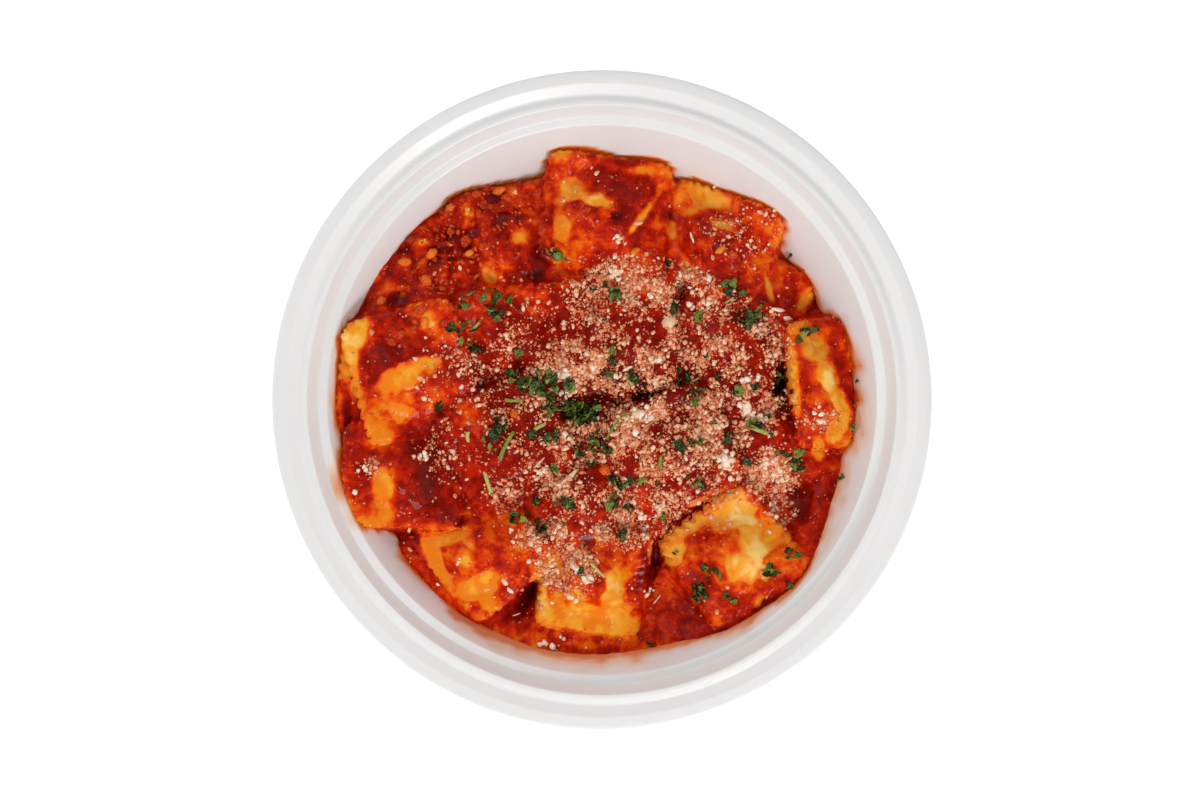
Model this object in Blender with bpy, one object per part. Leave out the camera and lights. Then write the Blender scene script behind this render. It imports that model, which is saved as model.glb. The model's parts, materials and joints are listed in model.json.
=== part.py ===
"""A round takeaway bowl of square ravioli lying in tomato and meat sauce.

Metres, +Z up, with the origin at the centre of the bowl's underside. The named sizes are in
millimetres, and MM turns them into metres when a mesh is made.
"""

import math
from dataclasses import dataclass

import bmesh
import bpy
import numpy as np

MM = 0.001

# Bowl, turned about the Z axis. Radii and heights are of its inner, food side.
BOWL_SIDES = 44
BOWL_HEIGHT = 57.0
BOWL_WALL = 1.0
FLOOR_TOP = 2.0
WALL_LEAN = 24.5  # degrees from upright
WALL_TOP_RADIUS = 96.4
WALL_TOP_HEIGHT = 48.9
FLOOR_CORNER_ROUND = 10.0
WIDE_ROUND = 5.0  # a corner rounder than this takes an extra point
LEDGE_RADIUS = 99.4
LEDGE_RISE = 0.7
RIDGE_RADIUS = 102.4
RIDGE_WIDTH = 1.5
RIDGE_DROP = 1.0
GROOVE_RADIUS = 106.0
GROOVE_DROP = 2.4
FLANGE_RADIUS = 109.9
RIM_RADIUS = 114.5
RIM_SKIRT = 3.6
RIM_ROUND = 0.8
FOOT_INNER_RADIUS = 61.5
FOOT_OUTER_RADIUS = 67.0
FOOT_TAPER = 0.7

# Sauce: a low mound under the ravioli that meets the wall along an uneven tide line.
SAUCE_SIDES = 48
GAP = 0.3
MOUND_TOP = 30.5
MOUND_SHOULDER = 26.0
TIDE_BLEND = 0.80  # share of the radius where the mound starts to follow the tide line
TIDE_MARKS = (  # degrees anticlockwise from +X, height of the sauce on the wall there
    (0, 30), (15, 26), (30, 22), (50, 21), (70, 19), (85, 16), (100, 13), (112, 16), (122, 29),
    (135, 34), (150, 37), (165, 40), (180, 40), (195, 36), (210, 29), (225, 34), (242, 36),
    (255, 37), (270, 36), (285, 34), (295, 39), (307, 41), (314, 43), (322, 43), (335, 34),
    (346, 31),
)
SAUCE_ROWS = (0.96, 0.90, 0.82, 0.72, 0.60, 0.46, 0.31, 0.16)  # shares of the sauce's radius

# Ravioli: a pressed, pinked border round a domed pillow.
FLANGE_THICKNESS = 2.4
PILLOW_RISE = 8.0
PILLOW_SHARE = 0.74  # the pillow's width as a share of the piece's
TOOTH_DEPTH = 0.8
CORNER_ROUND = 0.05
RING_SHARES = (0.77, 0.50, 0.25)
HOLLOW_SHARE = 0.5
HOLLOW_RISE = 0.8
LAYING_GAP = 1.1  # clearance kept over what lies beneath
WALL_CLEARANCE = 0.8
DRAPE_REACH = 5  # how far, in local grid steps, a bump under a piece spreads through it
SETTLE_SHARE = 0.72  # share of the piece's footprint that has sunk to its resting plane
LOWEST_REST = 25.5  # what lies deeper holds a piece up at least this high
STEEPEST_REST = 0.22
LOCAL_STEPS = 60
FIELD_HALF = 105
FIELD_STEP = 1.0


@dataclass(frozen=True)
class Piece:
    """One raviolo: where it lies, how big it is and how it leans, in millimetres and degrees."""

    name: str
    x: float
    y: float
    width: float
    depth: float
    yaw: float
    teeth: int = 6
    skew: float = 0.0
    lean: float = 0.0
    lean_towards: float = 0.0
    lift: float = 0.0
    reach: float = 95.0
    plump: float = 1.0


# In the order they were spooned in, the lowest first.
PIECES = (
    Piece("ravioli_left_under", -75.0, 6.0, 38, 36, 3, teeth=4, reach=93.5, plump=0.5),
    Piece("ravioli_bottom_left_under", -47.0, -55.0, 40, 36, -48, teeth=4, reach=90.0, plump=0.5),
    Piece("ravioli_top_right_under", 55.5, 36.0, 36, 34, -30, teeth=4, reach=86.0, plump=0.7),
    Piece("ravioli_right_under", 60.5, -16.0, 36, 34, 18, teeth=4, reach=84.0, plump=0.7),
    Piece("ravioli_upper_left", -57.0, 37.3, 46, 38, 54.9, reach=90.0),
    Piece("ravioli_top_left", -33.5, 57.2, 40, 40, 14, reach=89.0),
    Piece("ravioli_centre_top_right", 45.0, 19.0, 40, 38, -20, plump=0.8),
    Piece("ravioli_centre_bottom", -9.0, -37.0, 40, 38, 6, plump=0.8),
    Piece("ravioli_centre_upper_left", -32.0, 21.0, 38, 38, 12, plump=0.8),
    Piece("ravioli_bottom", -3.1, -64.4, 38, 38, -8.7, teeth=8, reach=88.0),
    Piece("ravioli_bottom_left", -42.7, -52.0, 42, 38, -49.8, teeth=8, reach=90.5),
    Piece("ravioli_top_right", 41.0, 57.3, 42, 35, -21.5, teeth=8, reach=91.0),
    Piece("ravioli_lower_left", -70.6, -26.5, 42, 38, -2, teeth=8, reach=95.5, plump=0.85),
    Piece("ravioli_left", -67.3, 10.1, 42, 45, 15.2, teeth=9, reach=94.5, plump=0.8),
    Piece("ravioli_centre_top", 6.0, 23.5, 42, 43, 4, lift=1.5, plump=0.9),
    Piece("ravioli_centre_left", -34.8, -14.4, 42, 38, 29, plump=0.9),
    Piece("ravioli_top", 1.2, 67.2, 46, 41, -6.5, teeth=8, reach=90.5),
    Piece("ravioli_right", 79.2, 6.1, 26, 46, 6.3, teeth=8, lean=20, lift=2.0, reach=89.5),
    Piece("ravioli_centre_right", 25.8, -18.6, 42, 41, 21.6, teeth=8, lift=1.5),
    Piece("ravioli_lower_right", 46.5, -55.3, 41, 38, 35.3, teeth=8, reach=93.0),
)


def smoothstep(low, high, value):
    """0 below low, 1 above high, and a smooth rise between them."""
    share = np.clip((value - low) / (high - low), 0.0, 1.0)
    return share * share * (3.0 - 2.0 * share)


def clear_scene():
    """Removes everything that the scene starts with."""
    for obj in list(bpy.data.objects):
        bpy.data.objects.remove(obj, do_unlink=True)


def material(name, color, roughness):
    """A Principled material of one colour."""
    made = bpy.data.materials.new(name)
    made.use_nodes = True
    shader = made.node_tree.nodes["Principled BSDF"]
    shader.inputs["Base Color"].default_value = (*color, 1.0)
    shader.inputs["Roughness"].default_value = roughness
    shader.inputs["Metallic"].default_value = 0.0
    return made


def add_object(name, bm, finish, sharp_angle):
    """Turns the bmesh into a smooth-shaded object with one material."""
    bmesh.ops.recalc_face_normals(bm, faces=bm.faces)
    mesh = bpy.data.meshes.new(name)
    bm.to_mesh(mesh)
    bm.free()
    mesh.shade_smooth()
    mesh.set_sharp_from_angle(angle=math.radians(sharp_angle))
    mesh.materials.append(finish)
    obj = bpy.data.objects.new(name, mesh)
    bpy.context.scene.collection.objects.link(obj)
    return obj


# ---------------------------------------------------------------- bowl


def inner_corners():
    """The corners of the bowl's food side, from the floor out to the rim: radius, height, round."""
    floor_radius = WALL_TOP_RADIUS - (WALL_TOP_HEIGHT - FLOOR_TOP) * math.tan(math.radians(WALL_LEAN))
    groove_height = BOWL_HEIGHT - GROOVE_DROP
    ridge_height = BOWL_HEIGHT - RIDGE_DROP
    return [
        (floor_radius, FLOOR_TOP, FLOOR_CORNER_ROUND),
        (WALL_TOP_RADIUS, WALL_TOP_HEIGHT, 0.0),
        (LEDGE_RADIUS, WALL_TOP_HEIGHT + LEDGE_RISE, 0.0),
        (RIDGE_RADIUS, ridge_height, 0.0),
        (RIDGE_RADIUS + RIDGE_WIDTH, ridge_height, 0.0),
        (GROOVE_RADIUS, groove_height, 0.0),
        (FLANGE_RADIUS, BOWL_HEIGHT, 0.0),
        (RIM_RADIUS, BOWL_HEIGHT, RIM_ROUND),
    ]


def offset_corners(corners, distance):
    """The same run of corners moved sideways to its right by distance, with mitred joints."""
    points = np.array([(radius, height) for radius, height, _ in corners])
    moved = []
    for index in range(1, len(points) - 1):
        before = points[index] - points[index - 1]
        after = points[index + 1] - points[index]
        before /= np.linalg.norm(before)
        after /= np.linalg.norm(after)
        bisector = before + after
        bisector /= np.linalg.norm(bisector)
        sideways = np.array([bisector[1], -bisector[0]])
        stretch = distance / (sideways @ np.array([before[1], -before[0]]))
        turn = before[0] * after[1] - before[1] * after[0]
        outer_round = corners[index][2] + (distance if turn > 0 else -distance)
        turned_round = max(outer_round, 0.0) if corners[index][2] > 0.0 else 0.0
        moved.append((*(points[index] + sideways * stretch), turned_round))
    return moved


def rounded(corners):
    """The points of a run of corners, each one rounded by its own radius."""
    points = [np.array(corners[0][:2])]
    for index in range(1, len(corners) - 1):
        here = np.array(corners[index][:2])
        radius = corners[index][2]
        if radius <= 0.0:
            points.append(here)
            continue
        back = np.array(corners[index - 1][:2]) - here
        ahead = np.array(corners[index + 1][:2]) - here
        back /= np.linalg.norm(back)
        ahead /= np.linalg.norm(ahead)
        half = math.acos(np.clip(back @ ahead, -1.0, 1.0)) / 2.0
        middle = back + ahead
        middle /= np.linalg.norm(middle)
        centre = here + middle * radius / math.sin(half)
        start = here + back * radius / math.tan(half) - centre
        end = here + ahead * radius / math.tan(half) - centre
        sweep = math.pi - 2.0 * half
        steps = 2 if radius > WIDE_ROUND else 1
        for step in range(steps + 1):
            share = step / steps
            near = math.sin((1.0 - share) * sweep) / math.sin(sweep)
            far = math.sin(share * sweep) / math.sin(sweep)
            points.append(centre + start * near + end * far)
    points.append(np.array(corners[-1][:2]))
    return points


def bowl_profile():
    """The bowl's closed half section, from the middle of its floor round the rim to its underside."""
    inside = inner_corners()
    before = (0.0, FLOOR_TOP, 0.0)
    after = (RIM_RADIUS, BOWL_HEIGHT - RIM_SKIRT, 0.0)
    outside = offset_corners([before, *inside, after], BOWL_WALL)[::-1]
    underside = FLOOR_TOP - BOWL_WALL
    skirt = [after, (RIM_RADIUS - BOWL_WALL, BOWL_HEIGHT - RIM_SKIRT, 0.0)]
    foot = [
        (FOOT_OUTER_RADIUS + FOOT_TAPER, underside, 0.0),
        (FOOT_OUTER_RADIUS, 0.0, 0.0),
        (FOOT_INNER_RADIUS, 0.0, 0.0),
        (FOOT_INNER_RADIUS - FOOT_TAPER, underside, 0.0),
        (0.0, underside, 0.0),
    ]
    return rounded([before, *inside, *skirt, *outside, *foot])


def make_bowl():
    """The bowl, one thin turned wall from foot to rim."""
    bm = bmesh.new()
    verts = [bm.verts.new((radius * MM, 0.0, height * MM)) for radius, height in bowl_profile()]
    edges = [bm.edges.new(pair) for pair in zip(verts, verts[1:])]
    bmesh.ops.spin(
        bm, geom=verts + edges, cent=(0, 0, 0), axis=(0, 0, 1),
        angle=2 * math.pi, steps=BOWL_SIDES, use_merge=True,
    )
    bmesh.ops.remove_doubles(bm, verts=bm.verts, dist=1e-6)
    return add_object("bowl", bm, material("white_plastic", (0.86, 0.85, 0.84), 0.35), 50)


# ---------------------------------------------------------------- sauce


def wall_height(radius):
    """Height of the bowl's food side at a radius."""
    corners = inner_corners()
    return np.interp(radius, [corner[0] for corner in corners], [corner[1] for corner in corners])


def wall_radius(height):
    """Radius of the bowl's leaning wall at a height."""
    return WALL_TOP_RADIUS - (WALL_TOP_HEIGHT - height) * math.tan(math.radians(WALL_LEAN))


def tide_height(azimuth):
    """Height of the sauce on the wall at an azimuth in radians."""
    degrees, heights = zip(*TIDE_MARKS)
    return np.interp(np.degrees(azimuth), degrees, heights, period=360)


def sauce_height(radius, azimuth):
    """Height of the sauce's top under and between the ravioli."""
    tide = tide_height(azimuth)
    share = radius / (wall_radius(tide) - GAP)
    mound = MOUND_SHOULDER + (MOUND_TOP - MOUND_SHOULDER) * np.cos(0.5 * math.pi * np.clip(share, 0, 1)) ** 2
    blend = smoothstep(TIDE_BLEND, 1.0, share)
    return mound * (1.0 - blend) + tide * blend


def make_sauce():
    """The sauce, from the bowl's floor up to its uneven top."""
    angles = np.arange(SAUCE_SIDES) * 2 * math.pi / SAUCE_SIDES
    tide = tide_height(angles)
    edge = wall_radius(tide) - GAP
    floor = np.full(SAUCE_SIDES, FLOOR_TOP + GAP)
    corner_height = floor + FLOOR_CORNER_ROUND * 0.35
    rows = [
        (np.full(SAUCE_SIDES, wall_radius(FLOOR_TOP) - FLOOR_CORNER_ROUND), floor),
        (wall_radius(corner_height) - FLOOR_CORNER_ROUND * 0.2, corner_height),
        (wall_radius(floor + FLOOR_CORNER_ROUND) - GAP * 1.5, floor + FLOOR_CORNER_ROUND),
        (edge, tide),
    ]
    rows += [(edge * share, sauce_height(edge * share, angles)) for share in SAUCE_ROWS]
    bm = bmesh.new()
    rings = [
        [
            bm.verts.new((radius * math.cos(angle) * MM, radius * math.sin(angle) * MM, height * MM))
            for radius, height, angle in zip(radii, heights, angles)
        ]
        for radii, heights in rows
    ]
    for lower, upper in zip(rings, rings[1:]):
        bridge(bm, lower, upper)
    cap(bm, rings[0], (0.0, 0.0, (FLOOR_TOP + GAP) * MM))
    cap(bm, rings[-1], (0.0, 0.0, MOUND_TOP * MM))
    return add_object("sauce", bm, material("tomato_sauce", (0.36, 0.02, 0.005), 0.3), 180)


def bridge(bm, outer, inner):
    """Joins a ring to one with the same number of points or a whole number of times fewer."""
    ratio = len(outer) // len(inner)
    turn = (ratio + 1) // 2
    for index, here in enumerate(inner):
        ahead = inner[(index + 1) % len(inner)]
        arc = [outer[(index * ratio + step) % len(outer)] for step in range(ratio + 1)]
        for step in range(ratio):
            bm.faces.new((arc[step], arc[step + 1], here if step < turn else ahead))
        bm.faces.new((arc[turn], ahead, here))


def cap(bm, ring, centre):
    """Closes a ring with triangles that meet at a centre point."""
    middle = bm.verts.new(centre)
    for index, here in enumerate(ring):
        bm.faces.new((here, ring[(index + 1) % len(ring)], middle))


# ---------------------------------------------------------------- ravioli


def pillow_height(s, t, plump):
    """Height of a raviolo's top over its underside at local places from -1 to 1."""
    spread = (np.abs(s / PILLOW_SHARE) ** 3 + np.abs(t / PILLOW_SHARE) ** 3) ** (1.0 / 3.0)
    dome = 0.5 + 0.5 * np.cos(math.pi * np.clip(spread, 0.0, 1.0) ** 1.3)
    return FLANGE_THICKNESS + PILLOW_RISE * plump * dome


def plan_place(piece, s, t):
    """World X and Y of local places on a raviolo, with its corners rounded and kept off the wall."""
    pull = 1.0 - CORNER_ROUND * (s * s * t * t) ** 2
    along = s * pull * piece.width / 2.0
    across = t * pull * piece.depth / 2.0
    along = along + across * math.tan(math.radians(piece.skew))
    yaw = math.radians(piece.yaw)
    x = along * math.cos(yaw) - across * math.sin(yaw)
    y = along * math.sin(yaw) + across * math.cos(yaw)
    downhill = math.radians(piece.lean_towards)
    lower = x * math.cos(downhill) + y * math.sin(downhill)
    shortened = lower * (1.0 - math.cos(math.radians(piece.lean)))
    x = piece.x + x - shortened * math.cos(downhill)
    y = piece.y + y - shortened * math.sin(downhill)
    radius = np.maximum(np.hypot(x, y), 1e-6)
    kept = np.where(radius > piece.reach, piece.reach + 0.12 * (radius - piece.reach), radius)
    return x * kept / radius, y * kept / radius


def widest(values, reach):
    """Each value replaced by the largest within reach steps of it."""
    padded = np.pad(values, reach, mode="edge")
    rows = np.max([padded[step : step + values.shape[0]] for step in range(2 * reach + 1)], axis=0)
    shifts = [rows[:, step : step + values.shape[1]] for step in range(2 * reach + 1)]
    return np.max(shifts, axis=0)


def softened(values, reach):
    """Each value replaced by the mean within reach steps of it."""
    padded = np.pad(values, reach, mode="edge")
    rows = np.mean([padded[step : step + values.shape[0]] for step in range(2 * reach + 1)], axis=0)
    shifts = [rows[:, step : step + values.shape[1]] for step in range(2 * reach + 1)]
    return np.mean(shifts, axis=0)


class Heap:
    """The height of everything in the bowl so far, over a square field of points."""

    def __init__(self):
        steps = int(FIELD_HALF / FIELD_STEP)
        line = np.arange(-steps, steps + 1) * FIELD_STEP
        x, y = np.meshgrid(line, line, indexing="ij")
        radius = np.hypot(x, y)
        azimuth = np.arctan2(y, x)
        edge = wall_radius(tide_height(azimuth))
        self.heights = np.where(radius < edge, sauce_height(radius, azimuth), 0.0)
        self.steps = steps

    def cells(self, x, y):
        """The field's cells that hold these places."""
        limit = 2 * self.steps
        i = np.clip(np.rint(x / FIELD_STEP).astype(int) + self.steps, 0, limit)
        j = np.clip(np.rint(y / FIELD_STEP).astype(int) + self.steps, 0, limit)
        return i, j

    def lay(self, piece):
        """Settles a raviolo on the heap and returns its underside on the local grid."""
        line = np.linspace(-1.0, 1.0, LOCAL_STEPS + 1)
        s, t = np.meshgrid(line, line, indexing="ij")
        x, y = plan_place(piece, s, t)
        laid_on = widest(self.heights, 1)[self.cells(x, y)] + LAYING_GAP
        leaned_on = wall_height(np.hypot(x, y) + WALL_CLEARANCE)
        under = np.maximum(np.maximum(laid_on, leaned_on), LOWEST_REST)
        away_x, away_y = x - piece.x, y - piece.y
        terms = np.stack([np.ones(x.size), away_x.ravel(), away_y.ravel()], axis=1)
        fitted = np.linalg.lstsq(terms, under.ravel(), rcond=None)[0]
        slope = np.clip(fitted[1:], -STEEPEST_REST, STEEPEST_REST)
        downhill = math.radians(piece.lean_towards)
        fall = math.tan(math.radians(piece.lean))
        if fall > 0.0:
            slope = -fall * np.array([math.cos(downhill), math.sin(downhill)])
        plane = slope[0] * away_x + slope[1] * away_y
        rest = plane + np.quantile(under - plane, SETTLE_SHARE) + piece.lift
        bump = widest(np.maximum(under - rest, 0.0), DRAPE_REACH)
        draped = rest + softened(softened(bump, DRAPE_REACH // 2), DRAPE_REACH // 2)
        underside = np.maximum(draped, leaned_on)
        top = underside + pillow_height(s, t, piece.plump)
        np.maximum.at(self.heights, self.cells(x, y), top)
        return underside


def sample(grid, s, t):
    """Reads a local grid between its points."""
    steps = grid.shape[0] - 1
    a = np.clip((s + 1.0) * steps / 2.0, 0.0, steps - 1e-6)
    b = np.clip((t + 1.0) * steps / 2.0, 0.0, steps - 1e-6)
    i, j = int(a), int(b)
    a, b = a - i, b - j
    low = grid[i, j] * (1 - b) + grid[i, j + 1] * b
    high = grid[i + 1, j] * (1 - b) + grid[i + 1, j + 1] * b
    return low * (1 - a) + high * a


def square_walk(share):
    """A point on the square from -1 to 1, walked once round as share goes from 0 to 1."""
    side, along = divmod(share * 4.0, 1.0)
    corners = ((1, -1), (1, 1), (-1, 1), (-1, -1), (1, -1))
    start, end = corners[int(side)], corners[int(side) + 1]
    return tuple(a + (b - a) * along for a, b in zip(start, end))


def ring_of(bm, piece, underside, count, share, height, pinked=0.0):
    """A ring of points round a raviolo, at a share of its size and a height over its underside."""
    ring = []
    for index in range(count):
        s, t = square_walk(index / count)
        reach = share - (pinked if index % 2 else 0.0)
        s, t = s * reach, t * reach
        x, y = plan_place(piece, np.float64(s), np.float64(t))
        z = sample(underside, s, t) + height(s, t)
        ring.append(bm.verts.new((float(x) * MM, float(y) * MM, float(z) * MM)))
    return ring


def make_raviolo(piece, underside, finish):
    """One raviolo: pinked border, domed pillow and a slightly hollow underside."""
    bm = bmesh.new()
    around = 4 * piece.teeth
    pinked = 2 * TOOTH_DEPTH / min(piece.width, piece.depth)

    def top(s, t):
        return float(pillow_height(s, t, piece.plump))

    edge = ring_of(bm, piece, underside, 2 * around, 1.0, lambda s, t: FLANGE_THICKNESS, pinked)
    counts = (around, around // 2, around // 4)
    rings = [edge] + [
        ring_of(bm, piece, underside, count, share, top) for count, share in zip(counts, RING_SHARES)
    ]
    for outer, inner in zip(rings, rings[1:]):
        bridge(bm, outer, inner)
    crown = plan_place(piece, np.float64(0), np.float64(0))
    middle = sample(underside, 0.0, 0.0)
    cap(bm, rings[-1], (crown[0] * MM, crown[1] * MM, (middle + top(0.0, 0.0)) * MM))
    foot = ring_of(bm, piece, underside, 2 * around, 1.0, lambda s, t: 0.0, pinked)
    hollow = ring_of(bm, piece, underside, around // 4, HOLLOW_SHARE, lambda s, t: HOLLOW_RISE)
    bridge(bm, edge, foot)
    bridge(bm, foot, hollow)
    cap(bm, hollow, (crown[0] * MM, crown[1] * MM, (middle + HOLLOW_RISE) * MM))
    return add_object(piece.name, bm, finish, 60)


def main():
    """Builds the bowl, the sauce and the heap of ravioli."""
    clear_scene()
    make_bowl()
    make_sauce()
    pasta = material("egg_pasta", (0.80, 0.42, 0.10), 0.45)
    heap = Heap()
    for piece in PIECES:
        make_raviolo(piece, heap.lay(piece), pasta)


main()
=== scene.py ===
"""Looks for a round takeaway bowl of ravioli in tomato and meat sauce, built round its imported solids.

Metres and +Z up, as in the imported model. Shapes are worked out in millimetres, and MM turns them into
metres when a mesh is made.
"""

from __future__ import annotations

import json
import logging
import math
from dataclasses import dataclass, field
from enum import Enum

import bmesh
import bpy
import numpy as np
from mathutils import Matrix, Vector
from mathutils.bvhtree import BVHTree
from mathutils.geometry import convex_hull_2d

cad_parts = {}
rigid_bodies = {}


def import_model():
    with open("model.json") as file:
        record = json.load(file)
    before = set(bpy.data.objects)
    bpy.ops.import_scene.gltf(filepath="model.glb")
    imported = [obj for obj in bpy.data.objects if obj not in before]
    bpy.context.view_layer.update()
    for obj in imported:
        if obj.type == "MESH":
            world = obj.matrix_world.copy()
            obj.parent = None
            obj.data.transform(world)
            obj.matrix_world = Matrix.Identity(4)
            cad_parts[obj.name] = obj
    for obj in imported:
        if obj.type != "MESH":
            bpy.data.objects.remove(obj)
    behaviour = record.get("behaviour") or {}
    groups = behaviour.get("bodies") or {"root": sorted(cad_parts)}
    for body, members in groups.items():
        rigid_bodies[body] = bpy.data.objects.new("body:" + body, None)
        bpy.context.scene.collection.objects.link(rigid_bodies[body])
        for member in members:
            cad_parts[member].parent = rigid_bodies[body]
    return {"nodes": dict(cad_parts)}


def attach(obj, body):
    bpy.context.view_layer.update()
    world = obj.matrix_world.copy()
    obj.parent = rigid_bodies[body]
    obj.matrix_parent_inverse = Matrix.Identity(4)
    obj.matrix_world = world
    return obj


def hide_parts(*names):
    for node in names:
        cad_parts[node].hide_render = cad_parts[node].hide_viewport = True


MM = 0.001
ROOT = "root"
LOG = logging.getLogger("ravioli")
GRID = 401
HEAP_POINTS = 151
NO_PASTA = -5.0
ABOVE_FOOD = 100.0
BELOW_FOOD = -40.0
Array = np.ndarray
Dice = np.random.Generator
Object = bpy.types.Object
Material = bpy.types.Material
Tree = bpy.types.NodeTree
Socket = bpy.types.NodeSocket
Shape = bmesh.types.BMesh
Triple = tuple[float, float, float]
Colour = Triple


# ---------------------------------------------------------------- numbers and noise


def smoothstep(low: float, high: float, value: Array) -> Array:
    """Rises smoothly from 0 at low to 1 at high."""
    share = np.clip((value - low) / (high - low), 0.0, 1.0)
    return share * share * (3.0 - 2.0 * share)


def noise(x: Array, y: Array, cell: float, seed: int) -> Array:
    """Smooth value noise.

    Args:
        x: first coordinate.
        y: second coordinate.
        cell: size of one lump of the noise, in the coordinates' unit.
        seed: picks the pattern.

    Returns:
        The noise at each place, from -1 to 1.
    """
    size = 128
    table = np.random.default_rng(seed).uniform(-1.0, 1.0, (size, size))
    u, v = np.asarray(x) / cell, np.asarray(y) / cell
    i, j = np.floor(u).astype(int), np.floor(v).astype(int)
    a, b = smoothstep(0.0, 1.0, u - i), smoothstep(0.0, 1.0, v - j)
    low = table[i % size, j % size] * (1 - b) + table[i % size, (j + 1) % size] * b
    high = table[(i + 1) % size, j % size] * (1 - b) + table[(i + 1) % size, (j + 1) % size] * b
    return low * (1 - a) + high * a


def rough(x: Array, y: Array, cell: float, octaves: int, seed: int) -> Array:
    """Sum of noises, each half the size and half the strength of the one before.

    Args:
        x: first coordinate.
        y: second coordinate.
        cell: size of the largest lumps.
        octaves: how many noises are summed.
        seed: picks the pattern.

    Returns:
        The sum at each place, about -1 to 1.
    """
    steps = range(octaves)
    return sum(noise(x, y, cell / 2**step, seed + step) / 2**step for step in steps) / 1.5


def lumpy(x: Array, y: Array, cell: float, octaves: int, seed: int) -> Array:
    """Rounded hills with sharp valleys between them, about -0.5 to 1.

    Args:
        x: the first coordinate.
        y: the second coordinate.
        cell: size of the largest hills.
        octaves: how many sizes are summed.
        seed: picks the pattern.

    Returns:
        The hills at each place.
    """
    steps = range(octaves)
    hills = sum(np.abs(noise(x, y, cell / 2**step, seed + step)) / 2**step for step in steps)
    return 2.0 * hills / 1.5 - 0.5


def blurred(values: Array, reach: float) -> Array:
    """Gaussian blur of a square grid of numbers.

    Args:
        values: the grid.
        reach: deviation of the blur, in cells.

    Returns:
        The blurred grid.
    """
    half = max(1, int(math.ceil(3 * reach)))
    weights = np.exp(-0.5 * (np.arange(-half, half + 1) / reach) ** 2)
    weights /= weights.sum()
    padded = np.pad(values, half, mode="edge")
    rows = sum(w * padded[k : k + values.shape[0]] for k, w in enumerate(weights))
    return sum(w * rows[:, k : k + values.shape[1]] for k, w in enumerate(weights))


def square(count: int) -> list[Array]:
    """Both coordinates of a square grid of places from -1 to 1."""
    line = np.linspace(-1.0, 1.0, count)
    return np.meshgrid(line, line, indexing="ij")


def unit(vector: Array) -> Array:
    """A vector's direction."""
    return vector / np.linalg.norm(vector)


def spread(values: Array, reach: int) -> Array:
    """Each cell of a grid takes the largest value within reach of it.

    Args:
        values: the grid.
        reach: how many cells away a value reaches.

    Returns:
        The grid with its values spread.
    """
    padded = np.pad(values, reach, mode="edge")
    rows = np.max([padded[k : k + values.shape[0]] for k in range(2 * reach + 1)], axis=0)
    return np.max([rows[:, k : k + values.shape[1]] for k in range(2 * reach + 1)], axis=0)


@dataclass
class Field:
    """Numbers over a square of the bowl, on a grid of cells in millimetres."""

    half: float = 100.0
    cell: float = 0.5
    values: Array = field(default_factory=lambda: np.zeros((GRID, GRID)))

    def places(self) -> tuple[Array, Array]:
        """The X and Y of every cell."""
        line = np.arange(self.values.shape[0]) * self.cell - self.half
        return np.meshgrid(line, line, indexing="ij")

    def like(self, values: Array) -> Field:
        """A field on the same grid with other values."""
        return Field(self.half, self.cell, values)

    def at(self, x: Array, y: Array) -> Array:
        """Reads the field between its cells, at places in millimetres.

        Args:
            x: X of each place.
            y: Y of each place.

        Returns:
            The values there.
        """
        last = self.values.shape[0] - 1.001
        u = np.clip((np.asarray(x) + self.half) / self.cell, 0, last)
        v = np.clip((np.asarray(y) + self.half) / self.cell, 0, last)
        i, j = u.astype(int), v.astype(int)
        a, b = u - i, v - j
        low = self.values[i, j] * (1 - b) + self.values[i, j + 1] * b
        high = self.values[i + 1, j] * (1 - b) + self.values[i + 1, j + 1] * b
        return low * (1 - a) + high * a

    def raise_to(self, x: Array, y: Array, z: Array) -> None:
        """Lifts the cells at these places to at least these values.

        Args:
            x: X of each place.
            y: Y of each place.
            z: the least value there.
        """
        last = self.values.shape[0] - 1
        i = np.clip(np.rint((x + self.half) / self.cell).astype(int), 0, last)
        j = np.clip(np.rint((y + self.half) / self.cell).astype(int), 0, last)
        np.maximum.at(self.values, (i.ravel(), j.ravel()), z.ravel())


@dataclass(frozen=True)
class Patch:
    """An oval area on the food, in millimetres and degrees."""

    x: float
    y: float
    length: float
    width: float
    strength: float = 1.0
    turn: float = 0.0

    def share(self, x: Array, y: Array) -> Array:
        """How far each place is inside the oval.

        Args:
            x: X of each place.
            y: Y of each place.

        Returns:
            Its strength at its middle, falling to 0 at its edge and beyond.
        """
        turn = math.radians(self.turn)
        a = ((x - self.x) * math.cos(turn) + (y - self.y) * math.sin(turn)) / (self.length / 2)
        b = (-(x - self.x) * math.sin(turn) + (y - self.y) * math.cos(turn)) / (self.width / 2)
        return self.strength * np.clip(1.0 - a * a - b * b, 0.0, 1.0)

    def drawn(self, count: int, draw: Dice) -> tuple[Array, Array]:
        """Random places inside the oval, closer together towards its middle.

        Args:
            count: how many places.
            draw: where the random numbers come from.

        Returns:
            X and Y of the places.
        """
        turn, angle = math.radians(self.turn), draw.uniform(0, 2 * math.pi, count)
        reach = draw.random(count) ** 0.8
        a, b = reach * np.cos(angle) * self.length / 2, reach * np.sin(angle) * self.width / 2
        x = self.x + a * math.cos(turn) - b * math.sin(turn)
        return x, self.y + a * math.sin(turn) + b * math.cos(turn)


def ovals(*rows: tuple[float, ...]) -> tuple[Patch, ...]:
    """Patches from rows of X, Y, length, width, strength and turn; a strength of 1 or turn of 0 may go."""
    return tuple(Patch(*row) for row in rows)


def patched(patches: tuple[Patch, ...], x: Array, y: Array) -> Array:
    """The strongest of some patches at each place.

    Args:
        patches: the patches.
        x: X of each place.
        y: Y of each place.

    Returns:
        The strength at each place, never below 0.
    """
    total = np.zeros_like(x)
    for patch in patches:
        total = np.maximum(total, patch.share(x, y))
    return total


# ---------------------------------------------------------------- meshes


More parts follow.
